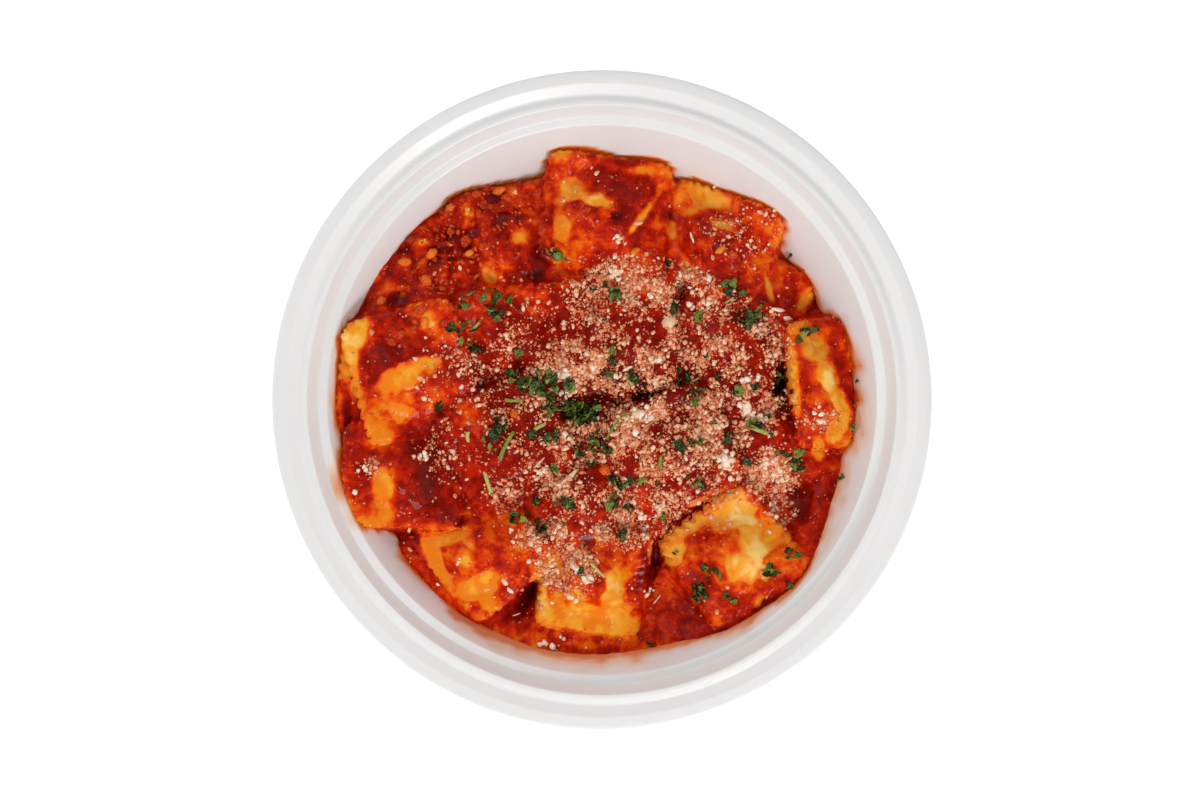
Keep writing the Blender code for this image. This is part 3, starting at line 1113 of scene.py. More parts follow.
@dataclass
class Raviolo:
    """One raviolo: a pressed, pinked border round a domed pillow, lying as its solid lies."""

    node: str
    yaw: float
    seed: int
    teeth: int = 10
    tooth_depth: float = 1.0
    cells: int = 74
    border_thickness: float = 1.8
    solid_border: float = 2.4
    pillow_share: float = 0.76
    crimp: float = 0.1
    lumps: float = 0.55
    curl: float = 0.7
    outline_step: float = 0.3
    probes: int = 17
    probe_inset: float = 0.06
    under_softness: float = 0.8
    fullness: float = 0.6
    lift: float = 0.3
    squareness: float = 3.4
    bulge: float = 1.45
    crease_depth: float = 0.25
    edge_thinning: float = 0.45

    def measure(self, solid: Object) -> None:
        """Reads the outline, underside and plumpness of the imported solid.

        Args:
            solid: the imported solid.
        """
        co, tree = solid_points(solid)
        hull = co[convex_hull_2d([Vector(p[:2]) for p in co])][:, :2]
        dense = self.walked(hull, self.outline_step)
        self.centre = dense.mean(axis=0)
        away = dense - self.centre
        angle = np.arctan2(away[:, 1], away[:, 0])
        order = np.argsort(angle)
        self.outline_angle = angle[order]
        self.outline_radius = np.hypot(away[:, 0], away[:, 1])[order]
        turn = math.radians(self.yaw)
        self.corners = []
        for s, t in ((-1, -1), (1, -1), (1, 1), (-1, 1)):
            along = (math.cos(turn) * s - math.sin(turn) * t, math.sin(turn) * s + math.cos(turn) * t)
            self.corners.append(hull[np.argmax(hull @ np.array(along))])
        s, t = square(self.probes)
        shrink = 1.0 - self.probe_inset * np.maximum(np.abs(s), np.abs(t)) ** 4
        x, y = self.place(s * shrink, t * shrink)
        under = np.array([self.hit(tree, a, b, 1) for a, b in zip(x.ravel(), y.ravel())])
        self.under = blurred(under.reshape(s.shape), self.under_softness)
        top = self.hit(tree, *self.centre, -1)
        self.plump = top - self.hit(tree, *self.centre, 1) - self.solid_border + self.fullness

    @staticmethod
    def walked(polygon: Array, step: float) -> Array:
        """Points at even steps round a polygon.

        Args:
            polygon: its corners.
            step: length of a step.

        Returns:
            The points.
        """
        closed = np.vstack([polygon, polygon[:1]])
        runs = []
        for a, b in zip(closed, closed[1:]):
            count = max(1, int(np.linalg.norm(b - a) / step))
            runs.append(a + (b - a) * (np.arange(count) / count)[:, None])
        return np.concatenate(runs)

    @staticmethod
    def hit(tree: BVHTree, x: float, y: float, towards: int) -> float:
        """Height of the solid at a place.

        Args:
            tree: the solid's tree.
            x: X of the place.
            y: Y of the place.
            towards: 1 to look up from below, -1 to look down from above.

        Returns:
            The height.
        """
        middle = 35.0
        start = Vector((x, y, BELOW_FOOD if towards > 0 else ABOVE_FOOD))
        found = tree.ray_cast(start, Vector((0.0, 0.0, float(towards))))[0]
        if found is None:
            found = tree.find_nearest(Vector((x, y, middle)))[0]
        return found.z

    def place(self, s: Array, t: Array) -> tuple[Array, Array]:
        """World X and Y of local places from -1 to 1 that fill the solid's outline.

        Args:
            s: first local coordinate.
            t: second local coordinate.

        Returns:
            X and Y in millimetres.
        """
        share = np.maximum(np.maximum(np.abs(s), np.abs(t)), 1e-9)
        a, b = (s / share + 1.0) / 2.0, (t / share + 1.0) / 2.0
        weights = ((1 - a) * (1 - b), a * (1 - b), a * b, (1 - a) * b)
        x = sum(w * corner[0] for w, corner in zip(weights, self.corners)) - self.centre[0]
        y = sum(w * corner[1] for w, corner in zip(weights, self.corners)) - self.centre[1]
        angle = np.arctan2(y, x)
        reach = share * np.interp(angle, self.outline_angle, self.outline_radius, period=2 * math.pi)
        return self.centre[0] + np.cos(angle) * reach, self.centre[1] + np.sin(angle) * reach

    def shape(self, count: int) -> tuple[Array, ...]:
        """The raviolo's top and underside over a square grid of local places.

        Args:
            count: points along each side.

        Returns:
            X, Y, underside, top and dome share, each a square grid.
        """
        s, t = square(count)
        share = np.maximum(np.abs(s), np.abs(t))
        along = np.where(np.abs(s) > np.abs(t), t, s) / np.maximum(share, 1e-9)
        side = np.where(np.abs(s) > np.abs(t), np.sign(s) + 3.0, np.sign(t))
        # Each noise reads its own hundred of seeds, so that no two ravioli are alike.
        uneven = 0.035 * noise(along * 3.3, side * 5.0, 1.0, 800 + self.seed)
        wave = np.cos(math.pi * self.teeth * (along + 1.0 + uneven))
        notch = (0.5 * (1.0 - wave)) ** 2 * (1.0 + 0.6 * noise(along * 5.0, side * 5.0, 1.0, 900 + self.seed))
        near = smoothstep(0.86, 1.0, share)
        x0, y0 = self.place(s, t)
        size = np.hypot(x0 - self.centre[0], y0 - self.centre[1])
        pull = 1.0 - near * self.tooth_depth * notch / np.maximum(size, 1.0)
        pull = pull * (1.0 - 0.035 * np.abs(s * t) ** 12)
        x, y = (middle + (value - middle) * pull for middle, value in zip(self.centre, (x0, y0)))
        coarse = Field(1.0, 2.0 / (self.under.shape[0] - 1), self.under)
        under = blurred(coarse.at(s, t), count / 40.0)
        width = self.pillow_share + 0.05 * noise(s * 9 + self.seed, t * 9, 5.0, 400 + self.seed)
        power = self.squareness
        spreading = (np.abs(s / width) ** power + np.abs(t / width) ** power) ** (1 / power)
        dome = 0.5 + 0.5 * np.cos(math.pi * np.clip(spreading, 0.0, 1.0) ** self.bulge)
        filling = self.lumps * rough(x, y, 11.0, 2, 500 + self.seed) * smoothstep(0.0, 0.7, dome)
        press = smoothstep(0.78, 0.86, share) * (1.0 - smoothstep(0.96, 1.0, share))
        crease = self.crease_depth * noise(along * 14.0, share * 0.0, 1.0, 600 + self.seed)
        crease = crease * smoothstep(0.55, 0.8, spreading) * (1.0 - smoothstep(1.0, 1.25, spreading))
        curled = self.curl * noise(s * 2.0, t * 2.0, 1.3, 700 + self.seed) * smoothstep(0.7, 1.0, share)
        thick = self.border_thickness * (1.0 - self.edge_thinning * smoothstep(0.93, 1.0, share))
        top = under + self.lift + curled + thick + self.plump * dome + filling + crease
        top = top + self.crimp * wave * press
        under = under + self.lift + curled * 0.9
        return x, y, under, np.maximum(top, under + 0.5), dome

    def build(self, sauce: Sauce, finish: Material) -> None:
        """Makes the fine mesh, marks how much sauce lies on it and dresses it.

        Args:
            sauce: the settled sauce.
            finish: the pasta's material.
        """
        count = self.cells + 1
        x, y, under, top, dome = self.shape(count)
        whole = Field(1.0, 2.0 / (count - 1), under)
        edge, rings = border(count), []
        s, t = (values.ravel()[edge] for values in square(count))
        for share, lift in ((1.0, 0.35), (0.96, 0.0), (0.8, 0.0), (0.55, 0.0), (0.28, 0.0)):
            ends = zip(self.centre, (x.ravel()[edge], y.ravel()[edge]))
            inner = (middle + (end - middle) * share for middle, end in ends)
            rings.append((*inner, whole.at(s * share, t * share) + lift))
        tip = (*self.centre, whole.at(np.zeros(1), np.zeros(1))[0])
        points, faces = closed((x, y, top), rings, tip)
        px, py, pz = points.T
        level = sauce.level(px, py, sauce.surface.at(px, py) - pz)
        domed = np.concatenate([dome.ravel(), np.zeros(len(points) - dome.size)])
        # Painted highlight and shade for the bare pasta: paler towards each pillow's top, with the sauce's
        # painted light patches mixed in.
        crown = 0.35 * domed + 0.65 * sauce.painted_pasta_light.at(px, py)
        marks = {"level": level, "crown": crown, "cheese": sauce.cheese.at(px, py)}
        obj = mesh_object(self.node.replace("ravioli", "pasta"), points, faces, marks)
        dress(obj, finish, Slot.PASTA.value, self.node)


RAVIOLI = (
    Raviolo("ravioli_left_under", 3, 1),
    Raviolo("ravioli_bottom_left_under", -48, 2),
    Raviolo("ravioli_top_right_under", -30, 3, 9),
    Raviolo("ravioli_right_under", 18, 4, 9),
    Raviolo("ravioli_upper_left", 54.9, 5),
    Raviolo("ravioli_top_left", 14, 6),
    Raviolo("ravioli_centre_top_right", -20, 7),
    Raviolo("ravioli_centre_bottom", 6, 8),
    Raviolo("ravioli_centre_upper_left", 12, 9),
    Raviolo("ravioli_bottom", -8.7, 10, 12, 0.6),
    Raviolo("ravioli_bottom_left", -49.8, 11, 12, 0.6),
    Raviolo("ravioli_top_right", -21.5, 12, 11, 0.8),
    Raviolo("ravioli_lower_left", -2, 13, 15, 0.6),
    Raviolo("ravioli_left", 15.2, 14, 11, 0.9),
    Raviolo("ravioli_centre_top", 4, 15),
    Raviolo("ravioli_centre_left", 29, 16),
    Raviolo("ravioli_top", -6.5, 17, 12, 0.7),
    Raviolo("ravioli_right", 6.3, 18),
    Raviolo("ravioli_centre_right", 21.6, 19),
    Raviolo("ravioli_lower_right", 35.3, 20, 9, 1.3),
)


# ---------------------------------------------------------------- sauce


# Where the pasta shows through the sauce, raviolo by raviolo.
BARE = ovals(
    # lower right
    (31, -44, 40, 13, 1, 37), (46, -39, 28, 18), (54, -49, 18, 22), (50, -59, 26, 18, 0.85, -15),
    (24, -54, 15, 20, 1, -60), (56, -71, 9, 5, 0.6, 40), (40, -50, 44, 34, 0.45),
    (64, -46, 16, 30, 0.35, 10),
    # left
    (-87.5, 23, 17, 16), (-89, 13, 9, 18, 0.9, -8), (-86, 3, 7, 20, 0.8, 12), (-67.5, 8, 30, 13, 0.75, 23),
    (-74, -2, 22, 18, 0.5, 30), (-79, -10, 15, 20, 0.7, 12), (-93.5, 11, 5, 12, 0.8, -5),
    # lower left
    (-76.5, -34, 12, 30, 0.72), (-80, -43, 28, 8, 0.55, -3), (-89.5, -42, 9, 9, 0.55, -30),
    (-90, -37, 6, 10, 0.5), (-64, -46, 22, 4, 0.45),
    # bottom left
    (-54, -48.5, 24, 8, 0.7, 15), (-58.5, -57, 26, 8, 0.8, -61), (-47, -51, 7, 9, 0.6),
    (-43, -65, 24, 13, 0.72, 22), (-39, -72, 14, 10, 0.5, -40),
    # bottom
    (-22, -71, 9, 30, 0.85), (-6, -78, 50, 17, 0.85, -7), (4.5, -71, 16, 36, 0.85), (12, -60, 10, 20, 0.4),
    (-18, -60, 12, 16, 0.6), (-3, -62, 36, 22, 0.25), (-27.5, -81.5, 12, 3.5, 0.8, 45),
    # top
    (-10, 75, 14, 14, 0.62), (-4, 72, 20, 7, 0.62, -20), (-14.5, 60.5, 8, 13, 0.75, 3),
    (-13.5, 67, 11, 28, 0.3, 3), (15.5, 67, 27, 3.2, 0.9, 54), (21.5, 76, 7, 5, 0.6, 30),
    (-13, 84, 18, 11, 0.4), (14, 82, 26, 5, 0.45, -4), (2, 68, 9, 9, 0.35),
    # top right
    (37, 75, 30, 12, 0.72, -28), (31, 69, 19, 8, 0.5), (25.5, 57, 6, 20, 0.5, 8), (30, 48, 6, 16, 0.5, 30),
    (44, 62, 18, 5, 0.45, -15), (63, 62, 9, 16, 0.5, -10), (59.5, 41, 3.6, 15, 0.85, 15),
    (56, 48, 9, 6, 0.35), (75, 36, 10, 14, 0.5, -30), (68, 55, 5, 8, 0.3),
    # right
    (68.2, 7, 5, 36, 0.9, 5), (73.5, 20, 26, 13, 0.8, -53), (80, 8, 20, 10, 0.85, -75),
    (84.5, -1, 14, 8, 1, -60), (84, -9, 18, 10, 1, 70), (77, -17, 6, 12, 0.8, 12), (77, 5, 18, 44, 0.28, 12),
    (50, -28, 16, 8, 0.4, 30),
    # upper left
    (-40, 46, 9, 15, 0.42, 20), (-30, 58, 15, 11, 0.36, 10), (-26, 66, 10, 6, 0.25),
    (-26, 84, 16, 5, 0.4, 12),
)

# Where the bare pasta is painted paler, as painted highlight.
PAINTED_HIGHLIGHTS = ovals(
    (50, -40, 17, 15, 1.5), (55, -57, 17, 15, 1.5), (-88, 22, 15, 20, 0.8), (-21, -73, 7, 18, 0.8),
    (-8, -81, 34, 7, 0.5, -7), (6, -74, 8, 22, 0.4), (81, 7, 6, 18, 0.8, 15), (84, -5, 8, 9, 0.8),
    (-5, 74, 14, 5, 0.7, -20), (-77, -31, 6, 15, 0.5), (40, 76, 16, 6, 0.5, -28), (28, -46, 26, 6, 0.7, 37),
    (60, 41, 4, 14, 0.7, 15), (-44, -65, 14, 6, 0.4, 22),
)

# Where the bare pasta is painted darker, as painted shade.
PAINTED_SHADE = ovals(
    (-71, 2, 44, 38, 1.1), (-52, -58, 40, 30, 0.8, -50), (-78, -36, 24, 30, 0.5),
)

# Where red sauce lies across the bare pasta.
STREAKS = ovals(
    (38, -50, 18, 7, 0.55), (34, -57, 11, 8, 0.6, -30), (33, -65, 12, 8, 1.1), (-8, -67, 20, 10, 0.7),
    (11, -66.5, 7, 7, 0.8), (-76, 20, 16, 13), (-82, 10, 6, 16, 0.8, -20), (-50, -57, 15, 13, 1.2, -30),
    (-10, 68, 8, 7, 1.1), (27, 75, 4, 6, 0.8), (87, 14, 10, 28, 0.9, 15), (75.5, -3, 10, 22, 1.1, 10),
    (-86, -29, 10, 18), (33, 57, 10, 14, 1.2), (39, -39, 14, 3, 0.3, 35),
)

# Where mince makes the sauce lumpy.
MEATY = ovals(
    (-47, 60, 60, 44, 1, 35), (-62, 40, 40, 26, 0.8, 60), (-45, 34, 40, 24, 0.45), (38, 55, 22, 16, 0.4),
    (0, 68, 16, 14, 0.3), (-68, 22, 20, 14, 0.4),
)

# Raised bits of tomato and carrot: brighter and more orange than the sauce.
BRIGHT = ovals(
    (-60.5, 52, 4, 6), (-69.5, 48.5, 5, 5), (-37, 75.5, 7, 4), (-27, 77, 7, 4), (-56, 64, 9, 9, 0.7),
    (-54, 68.5, 5, 4), (-78, 34, 7, 6), (-62, 42, 5, 5), (-70, 49, 5, 5), (-64, 33, 4, 4), (-62, 27, 5, 6),
    (2, 68, 8, 8, 0.8), (36, 55, 7, 7), (43, 52, 5, 4), (0, -25, 6, 6), (-14, -20, 6, 4),
    (-31, -5, 6, 7, 0.8), (26, 3, 8, 6, 0.8, 20), (41, 10, 5, 3), (-47, 52, 5, 4),
    (15.5, 67, 26, 3.4, 0.9, 54), (-50, 44, 6, 5, 0.7), (-66, 55, 5, 5, 0.7), (-42, 66, 6, 5, 0.6),
    (55, -33, 12, 8, 0.7, -30), (62, -45, 14, 24, 0.8, 10), (38, -52, 24, 14), (50, -68, 30, 12, 0.5, 30),
    (-4, -68, 20, 12, 0.7), (80, -3, 14, 22, 0.5, 10), (-33, 12, 7, 6, 0.6), (-22, 14, 7, 6, 0.6),
    (-33, 54, 5, 5, 0.6), (12, 53, 5, 4, 0.5),
)

# Loose bits of carrot, each of its own length, width and turn.
CARROTS = ovals(
    (-70, 49, 4.4, 3.2, 1, 20), (-60.5, 52, 4.6, 3.0, 1, 60), (-62, 42, 4.4, 3.4, 1, 100),
    (-78, 35, 4.0, 3.0, 1, 45), (-37, 75, 5.0, 2.6, 1, 10), (-62, 27, 3.2, 4.8), (-47, 52, 3.0, 2.6),
    (42, 53, 3.6, 2.8), (1, -25, 4.2, 3.6), (-31, -5, 4.0, 3.0, 1, 50), (12, 53, 3.2, 2.6),
    (-54, 68, 3.6, 2.6, 1, 30),
)

# Hollows between the pieces: sunk into the sauce and painted darker as shade.
HOLLOWS = ovals(
    (-53, 59, 7, 7), (-72, 36, 9, 5), (-39, 73, 6, 5), (-22, 51, 9, 9, 0.7), (-23, 45, 6, 6),
    (24, 65.5, 8, 7), (5, 65, 5, 4), (18, 5, 18, 8, 1.2, 25), (-9, -3, 16, 10, 1.1, -20),
    (-2, 1, 14, 6, 1, 10), (5, 2, 4, 10), (65, 6, 10, 34, 1.2, 8), (56, 26, 22, 9, 1.2, -38),
    (71, -36, 10, 18, 0.8), (17, -59, 9, 22, 1.1, -22), (-27, -68, 7, 19, 1, -15), (-5, -50, 6, 5),
    (-66, -49, 8, 5, 1, -40), (-49, -42.5, 14, 4, 0.4), (-62, -28, 8, 18, 0.4), (42, 55, 6, 7, 0.9),
    (-30, 13, 6, 5), (-90, -3, 4, 20, 0.8, 3), (-20, -12, 10, 6, 0.9), (47, 37, 10, 5, 0.8, 40),
    (-59, 49, 6, 5, 0.8), (-46, 60, 6, 5, 0.8), (-35, 65, 6, 4, 0.8), (-17.5, 66, 3, 26, 0.7),
    (-38, -12, 8, 7, 0.7), (-36, 24, 10, 8, 0.5), (-60, -58, 5, 26, 0.4, 50),
)

# Where the sauce is thicker and darker, under the cheese and in the pools; under the cheese the darkening is
# partly painted shade between the crumbs.
THICK_SAUCE_AND_SHADE = ovals(
    (12, -2, 140, 110, 1.5), (-45, 58, 76, 54, 0.7, 30), (-55, -24, 44, 44, 1.2), (79, -24, 16, 40, 0.5),
    (26, -78, 26, 20, 0.4), (-34, -78, 18, 14, 0.5), (-88, -12, 10, 26, 0.6), (34, 57, 40, 30, 0.7),
    (3, 72, 42, 34, 0.9), (-76, 12, 40, 48, 0.8),
)


@dataclass
class Sauce:
    """The sauce: one skin over the whole heap, with bits in it, down to the bowl's floor."""

    pool_top: float = 0.3
    coat: float = 0.4
    bare_drop: float = 1.5
    softness: float = 1.0
    bit_count: int = 6500
    smallest_bit: float = 0.5
    largest_bit: float = 1.7
    hollow_depth: float = 3.0
    bright_rise: float = 0.7
    cells: int = 300
    edge_radius: float = 96.2
    sunk: float = 1.1
    carried: int = 12
    deep_in_wall: float = 0.5
    off_wall: float = 0.6
    pool_waves: float = 0.5
    ragged_edge: float = 0.4
    fine_edge: float = 0.22
    streaked: float = 1.1
    bare_light: float = 0.45
    pale_light: float = 0.75
    light_softness: float = 1.5
    hill_height: float = 0.45
    meat_height: float = 2.6
    ripples: float = 0.4
    smooth_bare: float = 0.85
    tint_strength: float = 1.1
    # How much darker the hollows are painted, as shade.
    hollow_shade: float = 2.2
    bright_shift: float = 0.7
    most_cheese: float = 1.6

    def settle(self, bowl: Bowl, solid: Object, pasta: Field) -> None:
        """Works out the sauce's surface over the heap.

        Args:
            bowl: the bowl that holds it.
            solid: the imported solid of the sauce.
            pasta: height of the ravioli, below 0 where there are none.
        """
        self.bowl, self.pasta = bowl, pasta
        x, y = pasta.places()
        waves = self.pool_waves * rough(x, y, 14.0, 3, 31)
        heap = np.maximum(pasta.values, self.pool(solid, pasta) + waves)
        share = patched(BARE, x, y)
        ragged = self.ragged_edge * rough(x, y, 7.0, 3, 37) + self.fine_edge * rough(x, y, 2.4, 2, 38)
        share = share + ragged * smoothstep(0.0, 0.35, share) - self.streaked * patched(STREAKS, x, y)
        self.cover = pasta.like(blurred(1.0 - smoothstep(0.0, 0.8, share), 1.0))
        # Painted highlight and shade on the bare pasta: paler towards the middle of bare patches and in the
        # highlight patches, darker in the shade patches.
        light = patched(PAINTED_HIGHLIGHTS, x, y) - patched(PAINTED_SHADE, x, y)
        light = self.bare_light * smoothstep(0.45, 1.15, share) + self.pale_light * light
        self.painted_pasta_light = pasta.like(blurred(light, self.light_softness))
        meaty, bright, hollow, cheesed = (patched(kind, x, y) for kind in (MEATY, BRIGHT, HOLLOWS, CHEESED))
        bits, tints = self.scattered_bits(x, y)
        gritty = np.clip(0.25 + 0.5 * meaty + 0.6 * cheesed, 0.0, 1.0)
        hills = lumpy(x, y, 8.0, 3, 41)
        over = self.coat + (self.hill_height + self.meat_height * meaty) * hills
        over = over + self.ripples * rough(x, y, 3.4, 3, 43)
        over = over + bits * gritty + self.bright_rise * np.sqrt(bright)
        bare = 1.0 - self.cover.values
        over = over * (1.0 - self.smooth_bare * bare) - self.hollow_depth * np.sqrt(hollow)
        dropped = self.bare_drop * smoothstep(0.3, 0.85, bare)
        surface = blurred(heap, self.softness / pasta.cell) + over - dropped
        wall = bowl.wall_height(np.hypot(x, y))
        self.surface = pasta.like(np.maximum(surface, wall - self.sunk))
        self.ground = pasta.like(np.maximum(np.maximum(surface, pasta.values), wall))
        # Painted highlight and shade in the level: lump tops painted lighter and the creases between them
        # darker, over random patchiness; the hollows are painted darker as shade.
        tone_and_lump_shade = 0.8 * rough(x, y, 12.0, 3, 47) - (0.5 + 1.5 * meaty) * (hills - 0.2)
        thick_and_shaded = patched(THICK_SAUCE_AND_SHADE, x, y) + self.hollow_shade * hollow - self.bright_shift * bright
        self.shift = pasta.like(0.1 + self.tint_strength * tints * gritty + tone_and_lump_shade + thick_and_shaded)
        clumps = np.clip(0.75 + 1.4 * rough(x, y, 5.0, 3, 53), 0.0, 2.0)
        self.cheese = pasta.like(np.clip(cheesed * clumps, 0.0, self.most_cheese))

    def pool(self, solid: Object, pasta: Field) -> Array:
        """Height of the solid sauce's top over the grid, carried on past its edge.

        Args:
            solid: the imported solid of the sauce.
            pasta: a field whose grid is used.

        Returns:
            The heights.
        """
        _, tree = solid_points(solid)
        cell, above = 4 * pasta.cell, 90.0
        line = np.arange(-pasta.half, pasta.half + cell, cell)
        heights, known = np.zeros((len(line), len(line))), np.zeros((len(line), len(line)))
        for i, a in enumerate(line):
            for j, b in enumerate(line):
                found = tree.ray_cast(Vector((a, b, above)), Vector((0.0, 0.0, -1.0)))[0]
                if found is not None:
                    heights[i, j], known[i, j] = found.z, 1.0
        filled, weight = heights * known, known.copy()
        for _ in range(self.carried):
            wide_fill, wide_weight = blurred(filled, 1.0), blurred(weight, 1.0)
            reached = wide_weight > 1e-6
            filled = np.where(known > 0, heights, wide_fill / np.maximum(wide_weight, 1e-9) * reached)
            weight = np.maximum(known, reached.astype(float))
        return Field(pasta.half, cell, filled).at(*pasta.places()) + self.pool_top

    def scattered_bits(self, x: Array, y: Array) -> tuple[Array, Array]:
        """Rounded bits of meat, onion and tomato under the sauce's skin.

        Args:
            x: X of each cell.
            y: Y of each cell.

        Returns:
            Their relief in millimetres, and how much each darkens its cells.
        """
        draw = np.random.default_rng(71)
        count, cell, total = x.shape[0], x[1, 0] - x[0, 0], self.bit_count
        relief, tints = np.zeros_like(x), np.zeros_like(x)
        size = self.smallest_bit + (self.largest_bit - self.smallest_bit) * draw.random(total) ** 2.0
        i, j = draw.uniform(8, count - 9, (2, total))
        tint = np.clip(draw.normal(0.0, 0.4, total), -0.9, 0.9)
        squash, turn = draw.uniform(0.5, 1.0, total), draw.uniform(0, math.pi, total)
        near_i, near_j = np.rint(i).astype(int), np.rint(j).astype(int)
        reach = int(math.ceil(self.largest_bit / cell))
        for di in range(-reach, reach + 1):
            for dj in range(-reach, reach + 1):
                a, b = (near_i + di - i) * cell, (near_j + dj - j) * cell
                u = a * np.cos(turn) + b * np.sin(turn)
                v = (-a * np.sin(turn) + b * np.cos(turn)) / squash
                inside = np.clip(1.0 - (u * u + v * v) / (size * size), 0.0, 1.0)
                height = 0.55 * size * np.sqrt(inside)
                at = (near_i + di, near_j + dj)
                better = height > relief[at]
                np.maximum.at(relief, at, height)
                tints[at[0][better], at[1][better]] = tint[better]
        return relief, blurred(tints * smoothstep(0.05, 0.5, relief), 0.6)

    def level(self, x: Array, y: Array, over: Array) -> Array:
        """How much sauce shows at places on the food: 0 none, 1 a coat, 2 thick, 4 deep and dark, with
        painted shade and painted highlight added.

        Args:
            x: X of each place.
            y: Y of each place.
            over: height of the sauce's skin above the pasta there.

        Returns:
            The level at each place.
        """
        cover = self.cover.at(x, y)
        poured = 1.0 - 0.3 * np.clip(-over / 1.2, 0.0, 1.0) + 0.2 * smoothstep(0.5, 2.0, over)
        filled = smoothstep(0.3, 1.2, over)
        cover = np.maximum(cover, filled)
        return cover * poured + self.shift.at(x, y) * smoothstep(0.55, 1.0, cover)

    def build(self, finish: Material) -> None:
        """Makes the sauce's skin and the body under it, and dresses them.

        Args:
            finish: the sauce's material.
        """
        count = self.cells + 1
        radius, azimuth = self.disc(*square(count))
        radius = radius * self.edge_radius
        x, y = radius * np.cos(azimuth), radius * np.sin(azimuth)
        around, rings = azimuth.ravel()[border(count)], []
        lowest = self.bowl.floor_top - self.deep_in_wall
        for height, inset in ((30.0, 0.0), (14.0, 0.0), (6.0, 0.4), (lowest + 1.0, 2.2), (lowest, 6.0)):
            reach = float(self.bowl.wall_radius(height)) + self.deep_in_wall - inset
            rings.append((reach * np.cos(around), reach * np.sin(around), np.full_like(around, height)))
        points, faces = closed((x, y, self.surface.at(x, y)), rings, (0.0, 0.0, lowest))
        px, py, pz = points.T
        marks = {"level": self.level(px, py, pz - self.pasta.at(px, py)), "cheese": self.cheese.at(px, py)}
        dress(mesh_object("sauce_body", points, faces, marks), finish, Slot.SAUCE.value, "sauce")

    @staticmethod
    def disc(a: Array, b: Array) -> tuple[Array, Array]:
        """Carries a square from -1 to 1 onto a disc of radius 1.

        Args:
            a: first coordinate on the square.
            b: second coordinate on the square.

        Returns:
            Radius and azimuth on the disc.
        """
        radius = np.maximum(np.abs(a), np.abs(b))
        a = np.where(radius < 1e-9, 1e-9, a)
        wide = np.abs(a) >= np.abs(b)
        quarter = math.pi / 4
        first = np.where(a >= 0, 0.0, math.pi) + quarter * b / np.where(wide, a, 1.0)
        second = np.where(b >= 0, math.pi / 2, -math.pi / 2) - quarter * a / np.where(wide, 1.0, b)
        return radius, np.where(wide, first, second)

    def food_edge(self) -> Array:
        """Height of the food on the wall at each whole degree of azimuth.

        Returns:
            The heights.
        """
        lowest = 8.0
        heights = np.linspace(lowest, 48.0, 161)
        radii = self.bowl.wall_radius(heights) - self.off_wall
        edges = []
        for angle in np.radians(np.arange(360)):
            food = self.ground.at(radii * math.cos(angle), radii * math.sin(angle))
            covered = food > heights + 0.4
            edges.append(heights[covered].max() if covered.any() else lowest)
        edges = np.array(edges)
        return (np.roll(edges, 1) + edges + np.roll(edges, -1)) / 3.0


# ---------------------------------------------------------------- toppings


class Bit(Enum):
    """The shapes that a topping's bits can have."""

    GRAIN = "grain"
    CRUMB = "crumb"
    LUMP = "lump"
    SHARD = "shard"
    LEAF = "leaf"
    STEM = "stem"


